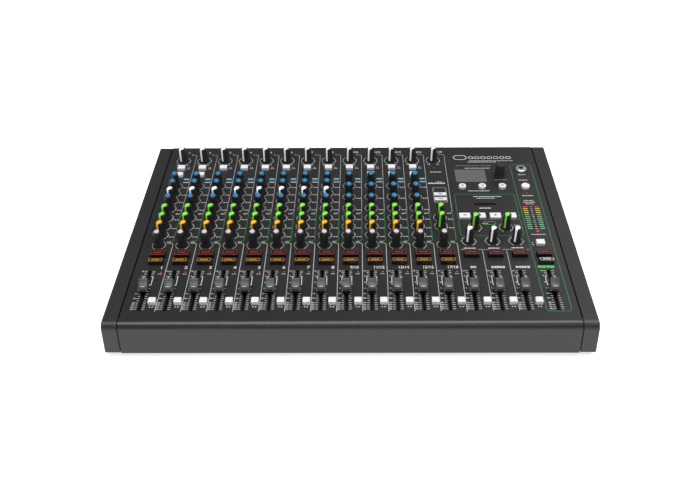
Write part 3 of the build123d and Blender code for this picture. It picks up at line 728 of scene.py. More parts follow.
def repeat_tree() -> bpy.types.NodeTree:
    """The tree that sets a piece on every point, realises the copies and gives them one finish.

    Returns:
        The shared node tree, made at first use.
    """
    found = bpy.data.node_groups.get("set_on_points")
    if found:
        return found
    tree = bpy.data.node_groups.new("set_on_points", "GeometryNodeTree")
    face = tree.interface
    face.new_socket(name="Geometry", in_out="INPUT", socket_type="NodeSocketGeometry")
    face.new_socket(name="Piece", in_out="INPUT", socket_type="NodeSocketObject")
    face.new_socket(name="Turn", in_out="INPUT", socket_type="NodeSocketFloat")
    face.new_socket(name="Finish", in_out="INPUT", socket_type="NodeSocketMaterial")
    face.new_socket(name="Geometry", in_out="OUTPUT", socket_type="NodeSocketGeometry")
    nodes, links = tree.nodes, tree.links
    start = nodes.new("NodeGroupInput")
    info = nodes.new("GeometryNodeObjectInfo")
    spin = nodes.new("ShaderNodeCombineXYZ")
    copies = nodes.new("GeometryNodeInstanceOnPoints")
    real = nodes.new("GeometryNodeRealizeInstances")
    dress = nodes.new("GeometryNodeSetMaterial")
    end = nodes.new("NodeGroupOutput")
    links.new(start.outputs["Piece"], info.inputs["Object"])
    links.new(start.outputs["Turn"], spin.inputs["Z"])
    links.new(start.outputs["Geometry"], copies.inputs["Points"])
    links.new(info.outputs["Geometry"], copies.inputs["Instance"])
    links.new(spin.outputs[0], copies.inputs["Rotation"])
    links.new(copies.outputs[0], real.inputs[0])
    links.new(real.outputs[0], dress.inputs["Geometry"])
    links.new(start.outputs["Finish"], dress.inputs["Material"])
    links.new(dress.outputs[0], end.inputs[0])
    return tree


def circle(radius: float, z: float, count: int = 32, at: Point2 = (0.0, 0.0)) -> Ring:
    """A ring of points, counter-clockwise seen from above."""
    step = 2 * math.pi / count
    angles = [n * step for n in range(count)]
    return [(at[0] + radius * math.cos(a), at[1] + radius * math.sin(a), z) for a in angles]


def fluted(radius: float, z: float, count: int, at: Point2, depth: float) -> Ring:
    """A circle whose every second point is moved in by a flute's depth."""
    ring = []
    for n in range(count):
        angle = 2 * math.pi * n / count
        reach = radius - (depth if n % 2 else 0.0)
        ring.append((at[0] + reach * math.cos(angle), at[1] + reach * math.sin(angle), z))
    return ring


def rectangle(x0: float, x1: float, y0: float, y1: float) -> List[Point2]:
    """A rectangle's outline, counter-clockwise from its near left corner."""
    return [(x0, y0), (x1, y0), (x1, y1), (x0, y1)]


def rounded(width: float, length: float, corner: float, z: float, steps: int = 5) -> Ring:
    """A rounded rectangle as a ring of points.

    Args:
        width: size along x.
        length: size along y.
        corner: corner radius.
        z: height.
        steps: points a corner.

    Returns:
        The ring, counter-clockwise.
    """
    corner = min(corner, width / 2 - 0.01, length / 2 - 0.01)
    made: Ring = []
    for quarter, (sx, sy) in enumerate(((1, 1), (-1, 1), (-1, -1), (1, -1))):
        cx, cy = sx * (width / 2 - corner), sy * (length / 2 - corner)
        for n in range(steps):
            angle = (quarter + n / (steps - 1)) * math.pi / 2
            made.append((cx + corner * math.cos(angle), cy + corner * math.sin(angle), z))
    return made


# ---- Controls ----------------------------------------------------------------------------------------


@dataclass
class Knob:
    """A tall black knob with a coloured insert that runs from its top down its side."""

    shop: Workshop
    base_radius: float = 5.1
    top_radius: float = 4.4
    bottom: float = 0.4
    top: float = 19.4
    insert_wide: float = 5.5
    insert_depth: float = 0.9
    proud: float = 0.28
    edge_drop: float = 0.22
    rim: float = 0.3

    def side_radius(self, z: float) -> float:
        """Radius of the tapered side at a height."""
        share = (z - 1.6) / (self.top - 1.6)
        return self.base_radius - 0.2 + (self.top_radius - self.base_radius + 0.2) * share

    def body(self) -> bpy.types.Object:
        """Returns: the black body with its skirt, shoulder and slightly hollow top."""
        r, z1 = self.top_radius, self.top
        foot, side = self.base_radius, self.side_radius
        profile = [(foot - 0.5, self.bottom), (foot, 0.6), (foot, 1.3)]
        profile += [(side(z), z) for z in (1.7, 9.0, z1 - 1.4)]
        profile += [(r - 0.12, z1 - 0.75), (r - 0.45, z1 - 0.28), (r - 0.95, z1 - 0.04), (r - 1.4, z1)]
        profile += [(r - 2.4, z1 - 0.12), (0.6, z1 - 0.22)]
        return self.shop.source(self.shop.rings([circle(a, z) for a, z in profile]), "knob_body", 50)

    def insert(self) -> bpy.types.Object:
        """Returns: the insert, a band that starts behind the middle and follows the top, rim and side."""
        r, z1 = self.top_radius, self.top
        path = [(-2.7, z1, 0.40), (-2.3, z1 + 0.08, 0.70), (-1.5, z1 + 0.14, 0.92), (0.0, z1 + 0.18, 1.0)]
        path += [(1.3, z1 + 0.2, 0.94), (2.3, z1 + 0.2, 0.76), (r - 1.2, z1 + 0.16, 0.56)]
        path += [(r - 0.5, z1 - 0.02, 0.50), (r, z1 - 0.6, 0.47), (r + 0.22, z1 - 1.5, 0.44)]
        down_side = ((13.0, 0.41), (7.0, 0.40), (2.2, 0.40))
        path += [(self.side_radius(z) + self.proud, z, share) for z, share in down_side]
        bm = bmesh.new()
        rows = []
        for reach, z, share in path:
            half = self.insert_wide * share / 2
            row = []
            for side in (-1.0, -0.8, 0.8, 1.0):
                x = side * half
                drop = 0.0 if abs(side) < 0.9 else self.edge_drop
                if z < z1 - self.rim:
                    curve = reach - (reach - math.sqrt(max(reach * reach - x * x, 0.0))) - drop
                    row.append(bm.verts.new((x, curve, z)))
                else:
                    row.append(bm.verts.new((x, reach, z - drop)))
            rows.append(row)
        for low, high in zip(rows, rows[1:]):
            for n in range(3):
                bm.faces.new((low[n], low[n + 1], high[n + 1], high[n]))
        under = []
        for reach, z, share in path:
            half = self.insert_wide * share / 2
            inward = self.insert_depth if z < z1 - self.rim else 0.0
            down = 0.0 if inward else self.insert_depth
            under.append([bm.verts.new((s * half, reach - inward, z - down)) for s in (-1.0, 1.0)])
        for (a0, a1), (b0, b1) in zip(under, under[1:]):
            bm.faces.new((a0, b0, b1, a1))
        for n in range(len(rows) - 1):
            bm.faces.new((rows[n][0], rows[n + 1][0], under[n + 1][0], under[n][0]))
            bm.faces.new((rows[n][3], under[n][1], under[n + 1][1], rows[n + 1][3]))
        bm.faces.new((*rows[0], under[0][1], under[0][0]))
        bm.faces.new((*reversed(rows[-1]), under[-1][0], under[-1][1]))
        return self.shop.source(bm, "knob_insert", 40)

    def bank(
        self,
        name: str,
        places: Sequence[Point2],
        turn_deg: float,
        insert: Finish,
        body: str,
        slot: str,
        replaces: Sequence[str] = (),
    ) -> None:
        """Stands a set of knobs on the deck.

        Args:
            name: what the pieces are called.
            places: deck positions.
            turn_deg: where the pointer rests, clockwise from the rear.
            insert: colour of the insert.
            body: the CAD body.
            slot: the record's slot.
            replaces: CAD nodes that the knobs stand for.
        """
        bodies = self.shop.repeated(name + "_bodies", self.body(), places, Finish.KNOB, turn_deg)
        self.shop.finish(bodies, body, Finish.KNOB, slot, replaces)
        inserts = self.shop.repeated(name + "_inserts", self.insert(), places, insert, turn_deg)
        self.shop.finish(inserts, body, insert, slot)


@dataclass
class Knobs:
    """All knobs of the console, fixed banks and the first strip's turning ones."""

    shop: Workshop
    low: float = -150.0
    middle: float = 0.0
    master_sends: Tuple[Point2, ...] = ((141.7, 153.0), (177.5, 153.0))
    master_levels: Tuple[Point2, ...] = ((132.5, 127.5), (159.0, 127.5), (185.3, 127.5))
    encoder_at: Point2 = (184.0, 259.0)
    encoder_top: float = 17.4
    flute: float = 0.16

    def build(self) -> None:
        """Builds every knob."""
        deck, knob = self.shop.deck, Knob(self.shop)
        strips = range(1, 13)
        gains = [(deck.strip(s), deck.gain_row) for s in strips] + list(self.master_levels)
        white, green = Finish.WHITE_INSERT, Finish.GREEN_INSERT
        knob.bank("gain_knobs", gains, self.low, white, "console", "knob_grey", ["gain_knobs"])
        tone, sweep = [], []
        for s in range(1, 12):
            rows = deck.mono_rows if s < 8 else deck.paired_rows
            for n, row in enumerate(rows):
                (sweep if len(rows) == 4 and n == 2 else tone).append((deck.strip(s), row))
        knob.bank("tone_knobs", tone, self.middle, Finish.BLUE_INSERT, "console", "knob_blue", ["eq_knobs"])
        knob.bank("sweep_knobs", sweep, self.low, white, "console", "knob_blue")
        monitor = [(deck.strip(s), row) for s in strips for row in deck.send_rows[:2]]
        monitor += self.master_sends
        effect = [(deck.strip(s), deck.send_rows[2]) for s in range(1, 12)]
        knob.bank("monitor_knobs", monitor, self.low, green, "console", "knob_green", ["send_knobs"])
        knob.bank("effect_knobs", effect, self.low, Finish.AMBER_INSERT, "console", "knob_green")
        pans = [(deck.strip(s), deck.pan_row) for s in strips]
        pale = Finish.PALE_INSERT
        knob.bank("balance_knobs", pans, self.middle, pale, "console", "knob_pan", ["pan_knobs"])
        first = (
            ("gain", deck.gain_row, self.low, white),
            ("treble", deck.mono_rows[0], self.middle, Finish.BLUE_INSERT),
            ("mid", deck.mono_rows[1], self.middle, Finish.BLUE_INSERT),
            ("mid_freq", deck.mono_rows[2], self.low, white),
            ("bass", deck.mono_rows[3], self.middle, Finish.BLUE_INSERT),
            ("mon1", deck.send_rows[0], self.low, green),
            ("mon2", deck.send_rows[1], self.low, green),
            ("fx", deck.send_rows[2], self.low, Finish.AMBER_INSERT),
            ("pan", deck.pan_row, self.middle, pale),
        )
        for name, row, turn, insert in first:
            node = f"{name}_knob_ch1"
            place, slot = [(deck.strip(0), row)], self.shop.slots[node]
            knob.bank(f"first_{name}_knob", place, turn, insert, node, slot, [node])
        self.encoder()

    def encoder(self) -> None:
        """The plain push encoder: a fluted black drum with a shallow dish in its top."""
        count, at, top = 48, self.encoder_at, self.encoder_top
        profile = [(6.1, 0.4), (6.5, 0.8), (6.5, 1.8), (6.15, 2.2)]
        profile += [(5.9, top - 1.0), (5.6, top - 0.3), (5.0, top)]
        rings = []
        for radius, z in profile:
            on_grip = 2.0 < z < top - 0.5
            rings.append(fluted(radius, z, count, at, self.flute if on_grip else 0.0))
        rings.append(circle(3.4, top - 0.05, count, at))
        rings.append(circle(0.5, top - 0.25, count, at))
        made = self.shop.source(self.shop.rings(rings), "encoder_drum", 30)
        self.shop.finish(made, "encoder_knob", Finish.ENCODER, "encoder_black", ["encoder_knob"])


@dataclass
class FaderCaps:
    """The seventeen fader caps, each on its own body, with a line, ridges and feet."""

    shop: Workshop
    width: float = 10.4
    length: float = 13.0
    lift: float = 4.2
    height: float = 9.5
    line_row: float = -4.0
    lever_bottom: float = -8.0

    def cap(self) -> bpy.types.Object:
        """Returns: the cap, rings along its length with rounded shoulders and a hollow across its top."""
        z0, z1 = self.lift, self.lift + self.height
        half = self.length / 2
        profile = [
            (-half, z0 + 2.6, 1.00), (-half + 0.3, z0 + 3.8, 0.97), (-half + 0.9, z0 + 4.6, 0.91),
            (-half + 1.9, z0 + 4.75, 0.88), (-half + 3.0, z0 + 4.8, 0.88), (-half + 4.2, z0 + 5.15, 0.88),
            (-half + 5.6, z0 + 5.9, 0.88), (0.6, z0 + 6.9, 0.88), (half - 4.5, z1 - 1.6, 0.88),
            (half - 3.5, z1 - 0.5, 0.88), (half - 2.5, z1, 0.88), (half - 1.5, z1 - 0.9, 0.91),
            (half - 0.5, z0 + 4.2, 0.96), (half, z0 + 2.6, 1.00),
        ]
        bm = bmesh.new()
        rows = []
        for y, top, share in profile:
            wide, low = self.width / 2, self.width / 2 * share
            row = [(-wide, y, z0), (-wide, y, z0 + 2.0), (-low, y, top - 0.7)]
            row += [(-low + 0.28, y, top - 0.2), (-low + 0.9, y, top)]
            row += [(-x, y, z) for x, y, z in reversed(row)]
            rows.append([bm.verts.new(p) for p in row])
        for back, front in zip(rows, rows[1:]):
            for n in range(9):
                bm.faces.new((back[n], back[n + 1], front[n + 1], front[n]))
            bm.faces.new((back[9], back[0], front[0], front[9]))
        bm.faces.new(rows[0])
        bm.faces.new(list(reversed(rows[-1])))
        return self.shop.source(bm, "fader_cap", 32)

    def line(self) -> bpy.types.Object:
        """Returns: the white line let into the hollow."""
        bm, y, z = bmesh.new(), self.line_row, self.lift + 4.84
        self.shop.slab(bm, rectangle(-2.2, 2.2, y - 0.5, y + 0.5), z - 0.4, z + 0.08)
        return self.shop.source(bm, "fader_line")

    def feet(self) -> bpy.types.Object:
        """Returns: the two lugs at the cap's front corners, in a lighter grey that is a painted highlight."""
        bm = bmesh.new()
        for side in (-1, 1):
            x = side * (self.width / 2 - 0.7)
            self.shop.slab(bm, rectangle(x - 0.7, x + 0.7, -6.62, -5.4), self.lift, self.lift + 2.5)
        return self.shop.source(bm, "fader_feet")

    def lever(self) -> bpy.types.Object:
        """Returns: the flat steel lever under the cap."""
        bm = bmesh.new()
        self.shop.slab(bm, rectangle(-0.6, 0.6, -1.7, 1.7), self.lever_bottom, self.lift + 2.0)
        return self.shop.source(bm, "fader_lever")

    def build(self) -> None:
        """Builds every cap on its body."""
        for name, x in self.shop.deck.faders().items():
            body, slot = f"fader_{name}", f"fader_{name}_cap"
            at = [(x, self.shop.deck.fader_rest)]
            cap = self.shop.repeated(f"{name}_cap", self.cap(), at, Finish.CAP)
            self.shop.finish(cap, body, Finish.CAP, slot, [body])
            for part, source, finish in (
                ("line", self.line(), Finish.WHITE_INK),
                # The feet's lighter grey is a painted highlight on the cap's front corners.
                ("feet", self.feet(), Finish.CAP_FOOT),
                ("lever", self.lever(), Finish.LEVER),
            ):
                made = self.shop.repeated(f"{name}_{part}", source, at, finish)
                self.shop.finish(made, body, finish, slot)


class KeyLegend(Enum):
    """What a key carries on its top."""

    PLAIN = 0
    FRAMED = 1
    BARS = 2
    STRIPE = 3


@dataclass
class KeyBank:
    """Push buttons of one kind: a softly crowned cap, its stem, and a frame or bars let into its top."""

    shop: Workshop
    name: str
    body: str
    slot: str
    finish: Finish
    places: Sequence[Point2]
    width: float
    length: float
    height: float
    legend: KeyLegend = KeyLegend.PLAIN
    legend_finish: Finish = Finish.DARK_INK
    is_round: bool = False
    replaces: Tuple[str, ...] = ()

    def outline(self, inset: float, z: float) -> Ring:
        """The key's outline moved in and set at a height."""
        if self.is_round:
            return circle(self.width / 2 - inset, z, 28)
        return rounded(self.width - 2 * inset, self.length - 2 * inset, max(1.0 - inset, 0.25), z)

    def cap(self) -> bpy.types.Object:
        """Returns: the cap with its stem."""
        h = self.height
        rings = [self.outline(0.0, -2.6), self.outline(0.0, h - 0.75), self.outline(0.1, h - 0.35)]
        rings += [self.outline(0.32, h - 0.1), self.outline(0.65, h)]
        rings += [self.outline(1.2, h - 0.05), self.outline(min(self.width, self.length) / 2 - 0.4, h - 0.16)]
        bm = self.shop.rings(rings)
        stem = self.shop.rings([circle(1.5, -8.0, 12), circle(1.5, -2.6, 12)])
        loose = bpy.data.meshes.new("stem")
        stem.to_mesh(loose)
        stem.free()
        bm.from_mesh(loose)
        bpy.data.meshes.remove(loose)
        return self.shop.source(bm, "key_cap", 48)

    def marks(self) -> bpy.types.Object:
        """Returns: the frame and the bars of the legend."""
        bm = bmesh.new()
        z = self.height - 0.12
        if self.legend is KeyLegend.STRIPE:
            w, rear = self.width / 2 - 0.6, self.length / 2 - 0.5
            self.shop.slab(bm, rectangle(-w, w, 0.3, rear), z - 0.1, z + 0.14)
            return self.shop.source(bm, "key_stripe")
        if self.legend is KeyLegend.FRAMED:
            outer = rounded(self.width - 0.9, self.length - 0.9, 0.7, z + 0.16, 4)
            inner = rounded(self.width - 1.8, self.length - 1.8, 0.4, z + 0.16, 4)
            low_outer = [(x, y, z - 0.1) for x, y, _ in outer]
            low_inner = [(x, y, z - 0.1) for x, y, _ in inner]
            rows = [[bm.verts.new(p) for p in ring] for ring in (outer, inner, low_inner, low_outer)]
            for a, b in zip(rows, rows[1:] + rows[:1]):
                for n in range(len(a)):
                    m = (n + 1) % len(a)
                    bm.faces.new((a[n], a[m], b[m], b[n]))
        tall = min(self.length * 0.26, 1.9)
        spans = ((-3.6, -2.0), (-1.6, -0.3), (0.1, 1.3), (1.7, 3.5))
        share = (self.width - 4.5) / 9.5
        for left, right in spans:
            outline = rectangle(left * share, right * share, -tall / 2, tall / 2)
            self.shop.slab(bm, outline, z - 0.1, z + 0.06)
        return self.shop.source(bm, "key_marks")

    def build(self) -> None:
        """Builds the bank."""
        caps = self.shop.repeated(self.name, self.cap(), self.places, self.finish)
        self.shop.finish(caps, self.body, self.finish, self.slot, self.replaces)
        if self.legend is not KeyLegend.PLAIN:
            marks = self.shop.repeated(self.name + "_legend", self.marks(), self.places, self.legend_finish)
            self.shop.finish(marks, self.body, self.legend_finish, self.slot)


@dataclass
class Keys:
    """All push buttons."""

    shop: Workshop
    mute_row: float = 102.8
    solo_row: float = 89.6
    assign_row: float = 26.0
    low_cut_row: float = 277.0
    source_row: float = 261.5
    tone_row: float = 250.0
    display_row: float = 233.8
    transport_row: float = 174.5
    player_x: float = 107.2
    player_rows: Tuple[float, float] = (218.0, 207.8)
    transport: Tuple[float, ...] = (132.6, 150.4, 168.2, 186.0)
    side: float = 2.8
    symbol_z: float = 1.9
    symbol_thick: float = 0.08

    def build(self) -> None:
        """Builds every bank of buttons."""
        shop, deck = self.shop, self.shop.deck
        sixteen = [deck.strip(s) for s in range(16)]
        mutes = [(x + self.side, self.mute_row) for x in sixteen] + [(deck.main_x, self.mute_row)]
        solos = [(x + self.side, self.solo_row) for x in sixteen[:13]]
        KeyBank(
            shop, "mute_keys", "mute_buttons", "key_red", Finish.RED_KEY, mutes, 16.4, 8.6, 5.0,
            KeyLegend.FRAMED, Finish.RED_LEGEND, replaces=("mute_buttons",),
        ).build()
        KeyBank(
            shop, "solo_keys", "solo_buttons", "key_amber", Finish.AMBER_KEY, solos, 15.6, 5.6, 5.3,
            KeyLegend.FRAMED, Finish.AMBER_LEGEND, replaces=("solo_buttons",),
        ).build()
        assign = [(x + 10.8, self.assign_row) for x in sixteen]
        low_cut = [(x, self.low_cut_row) for x in sixteen[:12]]
        source = [(deck.strip(s), self.source_row) for s in (0, 1, 9, 10, 11)]
        for name, places, size, replaces in (
            ("assign_keys", assign, (7.8, 7.8, 4.6), ("strip_buttons",)),
            ("low_cut_keys", low_cut, (9.2, 8.0, 3.4), ()),
            ("source_keys", source, (9.2, 7.4, 3.4), ()),
        ):
            KeyBank(
                shop, name, "strip_buttons", "key_white", Finish.WHITE_KEY, places, *size, replaces=replaces
            ).build()
        tone = [(x + 10.5, self.tone_row) for x in sixteen[:12]]
        KeyBank(
            shop, "tone_keys", "eq_buttons", "key_blue", Finish.TEAL_KEY, tone, 7.6, 5.4, 1.4,
            KeyLegend.STRIPE, Finish.PALE_BLUE_LEGEND, replaces=("eq_buttons",),
        ).build()
        display = [(x, self.display_row) for x in (135.5, 159.7, 184.0)]
        transport = [(x, self.transport_row) for x in self.transport]
        player = [(self.player_x, row) for row in self.player_rows]
        master = (
            ("display_keys", display, (9.2, 9.2, 3.2), True, KeyLegend.BARS),
            ("transport_keys", transport, (13.0, 9.4, 2.0), False, KeyLegend.PLAIN),
            ("player_keys", player, (15.0, 5.4, 2.0), False, KeyLegend.PLAIN),
            ("phantom_key", ((212.1, 233.4),), (10.2, 10.2, 3.4), True, KeyLegend.PLAIN),
            ("listen_key", ((211.7, 123.0),), (9.6, 8.4, 3.4), False, KeyLegend.PLAIN),
        )
        for name, places, size, is_round, legend in master:
            replaces = ("master_buttons",) if name == "display_keys" else ()
            KeyBank(
                shop, name, "master_buttons", "key_mixed", Finish.WHITE_KEY, places, *size,
                legend, Finish.DARK_INK, is_round, replaces,
            ).build()
        KeyBank(
            shop, "clear_key", "master_buttons", "key_mixed", Finish.DARK_KEY, [(deck.main_x, self.solo_row)],
            15.6, 5.6, 5.3, KeyLegend.FRAMED, Finish.BRIGHT_INK,
        ).build()
        self.symbols()

    def symbols(self) -> None:
        """Play, stop, record and skip marks on the transport and player keys."""
        y = self.transport_row
        skip, bar, dot, play = self.transport
        outlines = [
            [(skip - 1.9, y), (skip, y - 1.2), (skip, y + 1.2)],
            [(skip + 0.1, y), (skip + 2.0, y - 1.2), (skip + 2.0, y + 1.2)],
            rectangle(bar - 1.2, bar + 1.2, y - 1.2, y + 1.2),
            [(px, py) for px, py, _ in circle(1.3, 0, 16, (dot, y))],
            [(play - 1.2, y - 1.4), (play + 1.4, y), (play - 1.2, y + 1.4)],
        ]
        for row, half in zip(self.player_rows, (2.6, 3.2)):
            outlines.append(rectangle(self.player_x - half, self.player_x + half, row - 0.5, row + 0.5))
        bm = bmesh.new()
        for outline in outlines:
            self.shop.slab(bm, outline, self.symbol_z, self.symbol_z + self.symbol_thick)
        made = self.shop.source(bm, "key_symbols")
        self.shop.finish(made, "master_buttons", Finish.DARK_INK, "key_mixed")


# ---- Lamps, meter, sockets and screen ----------------------------------------------------------------


@dataclass
class Lamps:
    """Overload lamps, single lamps, meter bars."""

    shop: Workshop
    bar: Tuple[float, float] = (5.6, 1.3)
    columns: Tuple[float, float] = (205.2, 219.2)
    first_row: float = 150.7
    step: float = 3.88

    def lens(self, radius: float) -> bpy.types.Object:
        """A domed lens on its barrel."""
        rings = [circle(radius, -12.0, 20), circle(radius, 0.0, 20)]
        for n in range(1, 5):
            angle = n * math.pi / 10
            rings.append(circle(radius * math.cos(angle), radius * 0.45 * math.sin(angle), 20))
        rings.append(circle(radius * 0.12, radius * 0.47, 20))
        return self.shop.source(self.shop.rings(rings), "lens", 60)

    def build(self) -> None:
        """Builds every lamp."""
        shop, deck = self.shop, self.shop.deck
        peaks = [(deck.strip(s) + 10.8, 74.8) for s in range(13)]
        lamps = shop.repeated("overload_lamps", self.lens(1.25), peaks, Finish.RED_LAMP)
        shop.finish(lamps, "console", Finish.RED_LAMP, "lamp_lenses", ["status_leds"])
        for name, at, radius in (
            ("phantom_lamp", (212.3, 244.0), 1.3),
            ("power_lamp", (212.3, 221.0), 1.0),
            ("warning_lamp", (212.6, 146.0), 2.7),
        ):
            made = shop.repeated(name, self.lens(radius), [at], Finish.RED_LAMP)
            shop.finish(made, "console", Finish.RED_LAMP, "lamp_lenses")
        first = True
        for name, rows, finish in (
            ("meter_green_bars", range(0, 8), Finish.METER_GREEN),
            ("meter_yellow_bars", range(8, 11), Finish.METER_YELLOW),
            ("meter_red_bars", range(11, 12), Finish.METER_RED),
        ):
            places = [(x, self.first_row + self.step * n) for x in self.columns for n in rows]
            rings = [rounded(*self.bar, 0.3, -12.0), rounded(*self.bar, 0.3, 0.0)]
            rings.append(rounded(self.bar[0] - 0.3, self.bar[1] - 0.3, 0.2, 0.12))
            source = shop.source(shop.rings(rings), "bar")
            bars = shop.repeated(name, source, places, finish)
            shop.finish(bars, "console", finish, "meter_bars", ["level_meter"] if first else ())
            first = False


@dataclass
class RingNut:
    """The knurled ring nut round the headphone socket, and the black collar round the small aux socket."""

    shop: Workshop
    at: Point2 = (212.0, 271.0)
    small_at: Point2 = (103.7, 275.5)
    count: int = 48
    knurl: float = 0.22
    nut: Tuple[Point2, ...] = (
        (7.0, 0.02), (7.05, 0.5), (7.05, 2.2), (6.6, 3.0), (5.9, 3.45), (4.85, 3.5), (4.75, 3.0), (4.75, 0.1),
    )
    rim: Tuple[Point2, ...] = (
        (3.1, 0.02), (3.1, 0.45), (2.8, 0.62), (2.05, 0.62), (1.85, 0.4), (1.85, 0.02),
    )

    def build(self) -> None:
        """Builds the nut over the CAD one, and the collar."""
        rings = []
        for radius, z in self.nut:
            on_grip = 0.3 < z < 2.9 and radius > 6
            rings.append(fluted(radius, z, self.count, self.at, self.knurl if on_grip else 0.0))
        self.turned(rings, "socket_ring_nut", 30, Finish.CHROME)
        self.collar()

    def collar(self) -> None:
        """Builds the black collar over the small aux socket's rim."""
        rings = [circle(radius, z, 32, self.small_at) for radius, z in self.rim]
        self.turned(rings, "aux_socket_collar", 40, Finish.BLACK_PLASTIC)

    def turned(self, rings: List[Ring], name: str, smooth_deg: float, finish: Finish) -> None:
        """Closes rings into a hollow turned piece and sets it on the console.

        Args:
            rings: the rings round its section, the first one left open to the last.
            name: what the piece is called.
            smooth_deg: edges sharper than this stay sharp.
            finish: its finish.
        """
        bm = self.shop.rings(rings + [rings[0]], top=False, bottom=False)
        bmesh.ops.remove_doubles(bm, verts=bm.verts, dist=0.0001)
        self.shop.finish(self.shop.source(bm, name, smooth_deg), "console", finish, "deck_jack_chrome")


@dataclass
class SeamSeals:
    """Thin black strips let into the seams between the control surface and the cheeks, a painted shade that
    stands in for the dark gaps.
    """

    shop: Workshop
    seam: float = 233.7
    front: float = 3.0
    rear: float = 324.6
    body: Tuple[float, float, float] = (0.46, -1.45, 0.0)
    # The lip lies on the deck and widens the painted shade line on each side of the seam.
    lip: Tuple[float, float, float] = (0.72, 0.0, 0.06)

    def build(self) -> None:
        """Builds both strips of painted seam shade."""
        bm = bmesh.new()
        for side in (-1, 1):
            for half, z0, z1 in (self.body, self.lip):
                x = side * self.seam
                self.shop.slab(bm, rectangle(x - half, x + half, self.front, self.rear), z0, z1)
        self.shop.finish(self.shop.source(bm, "seam_seals"), "console", Finish.SEAL, "deck_paint")


# ---- Printing ----------------------------------------------------------------------------------------


class Print:
    """Collects flat printed shapes of one ink as thin closed slabs."""

    def __init__(self, shop: Workshop, z: float = 0.0) -> None:
        """Args: shop: the workshop; z: height of the surface printed on."""
        self.shop = shop
        self.bm = bmesh.new()
        self.low, self.high = z, z + INK_THICK

    def bar(self, x: float, y: float, width: float, height: float) -> None:
        """A rectangle by its centre and sizes."""
        w, h = width / 2, height / 2
        self.shop.slab(self.bm, rectangle(x - w, x + w, y - h, y + h), self.low, self.high)

    def line(self, points: Sequence[Point2], width: float = 0.5, closed: bool = False) -> None:
        """A line of one width through points, mitred at its corners.

        Args:
            points: the path.
            width: line width.
            closed: join the end to the start.
        """
        count = len(points)
        sides: List[Tuple[Vector, Vector]] = []
        for n, point in enumerate(points):
            here = Vector(point)
            before = Vector(points[n - 1]) if n or closed else None
            after = Vector(points[(n + 1) % count]) if n < count - 1 or closed else None
            ahead = (after - here).normalized() if after is not None else (here - before).normalized()
            behind = (here - before).normalized() if before is not None else ahead
            mean = (ahead + behind).normalized()
            normal = Vector((-mean.y, mean.x))
            reach = width / 2 / max(0.35, normal.dot(Vector((-ahead.y, ahead.x))))
            sides.append((here + normal * reach, here - normal * reach))
        if closed:
            sides.append(sides[0])
        for (a, b), (c, d) in zip(sides, sides[1:]):
            self.shop.slab(self.bm, [tuple(b), tuple(d), tuple(c), tuple(a)], self.low, self.high)

    def arc(
        self,
        x: float,
        y: float,
        radius: float,
        start: float,
        end: float,
        width: float = 0.45,
        steps: int = 20,
    ) -> None:
        """An arc, angles in degrees clockwise from the rear."""
        turns = [math.radians(start + (end - start) * n / steps) for n in range(steps + 1)]
        self.line([(x + radius * math.sin(a), y + radius * math.cos(a)) for a in turns], width)

    def frame(self, x0: float, x1: float, y0: float, y1: float, corner: float, width: float = 0.5) -> None:
        """A rounded frame."""
        ring = rounded(x1 - x0, y1 - y0, corner, 0.0)
        self.line([(x + (x0 + x1) / 2, y + (y0 + y1) / 2) for x, y, _ in ring], width, closed=True)

    def words(self, x: float, y: float, width: float, height: float, pieces: int = 3) -> None:
        """A row of short dashes in place of a word, from its left end."""
        step = width / pieces
        for n in range(pieces):
            gap = 0.35 + 0.18 * ((n * 7 + pieces) % 3)
            self.bar(x + step * (n + 0.5) - gap / 2, y, step - gap, height)

    def object(self, name: str) -> bpy.types.Object:
        """Returns: the collected shapes as an object."""
        return self.shop.source(self.bm, name)


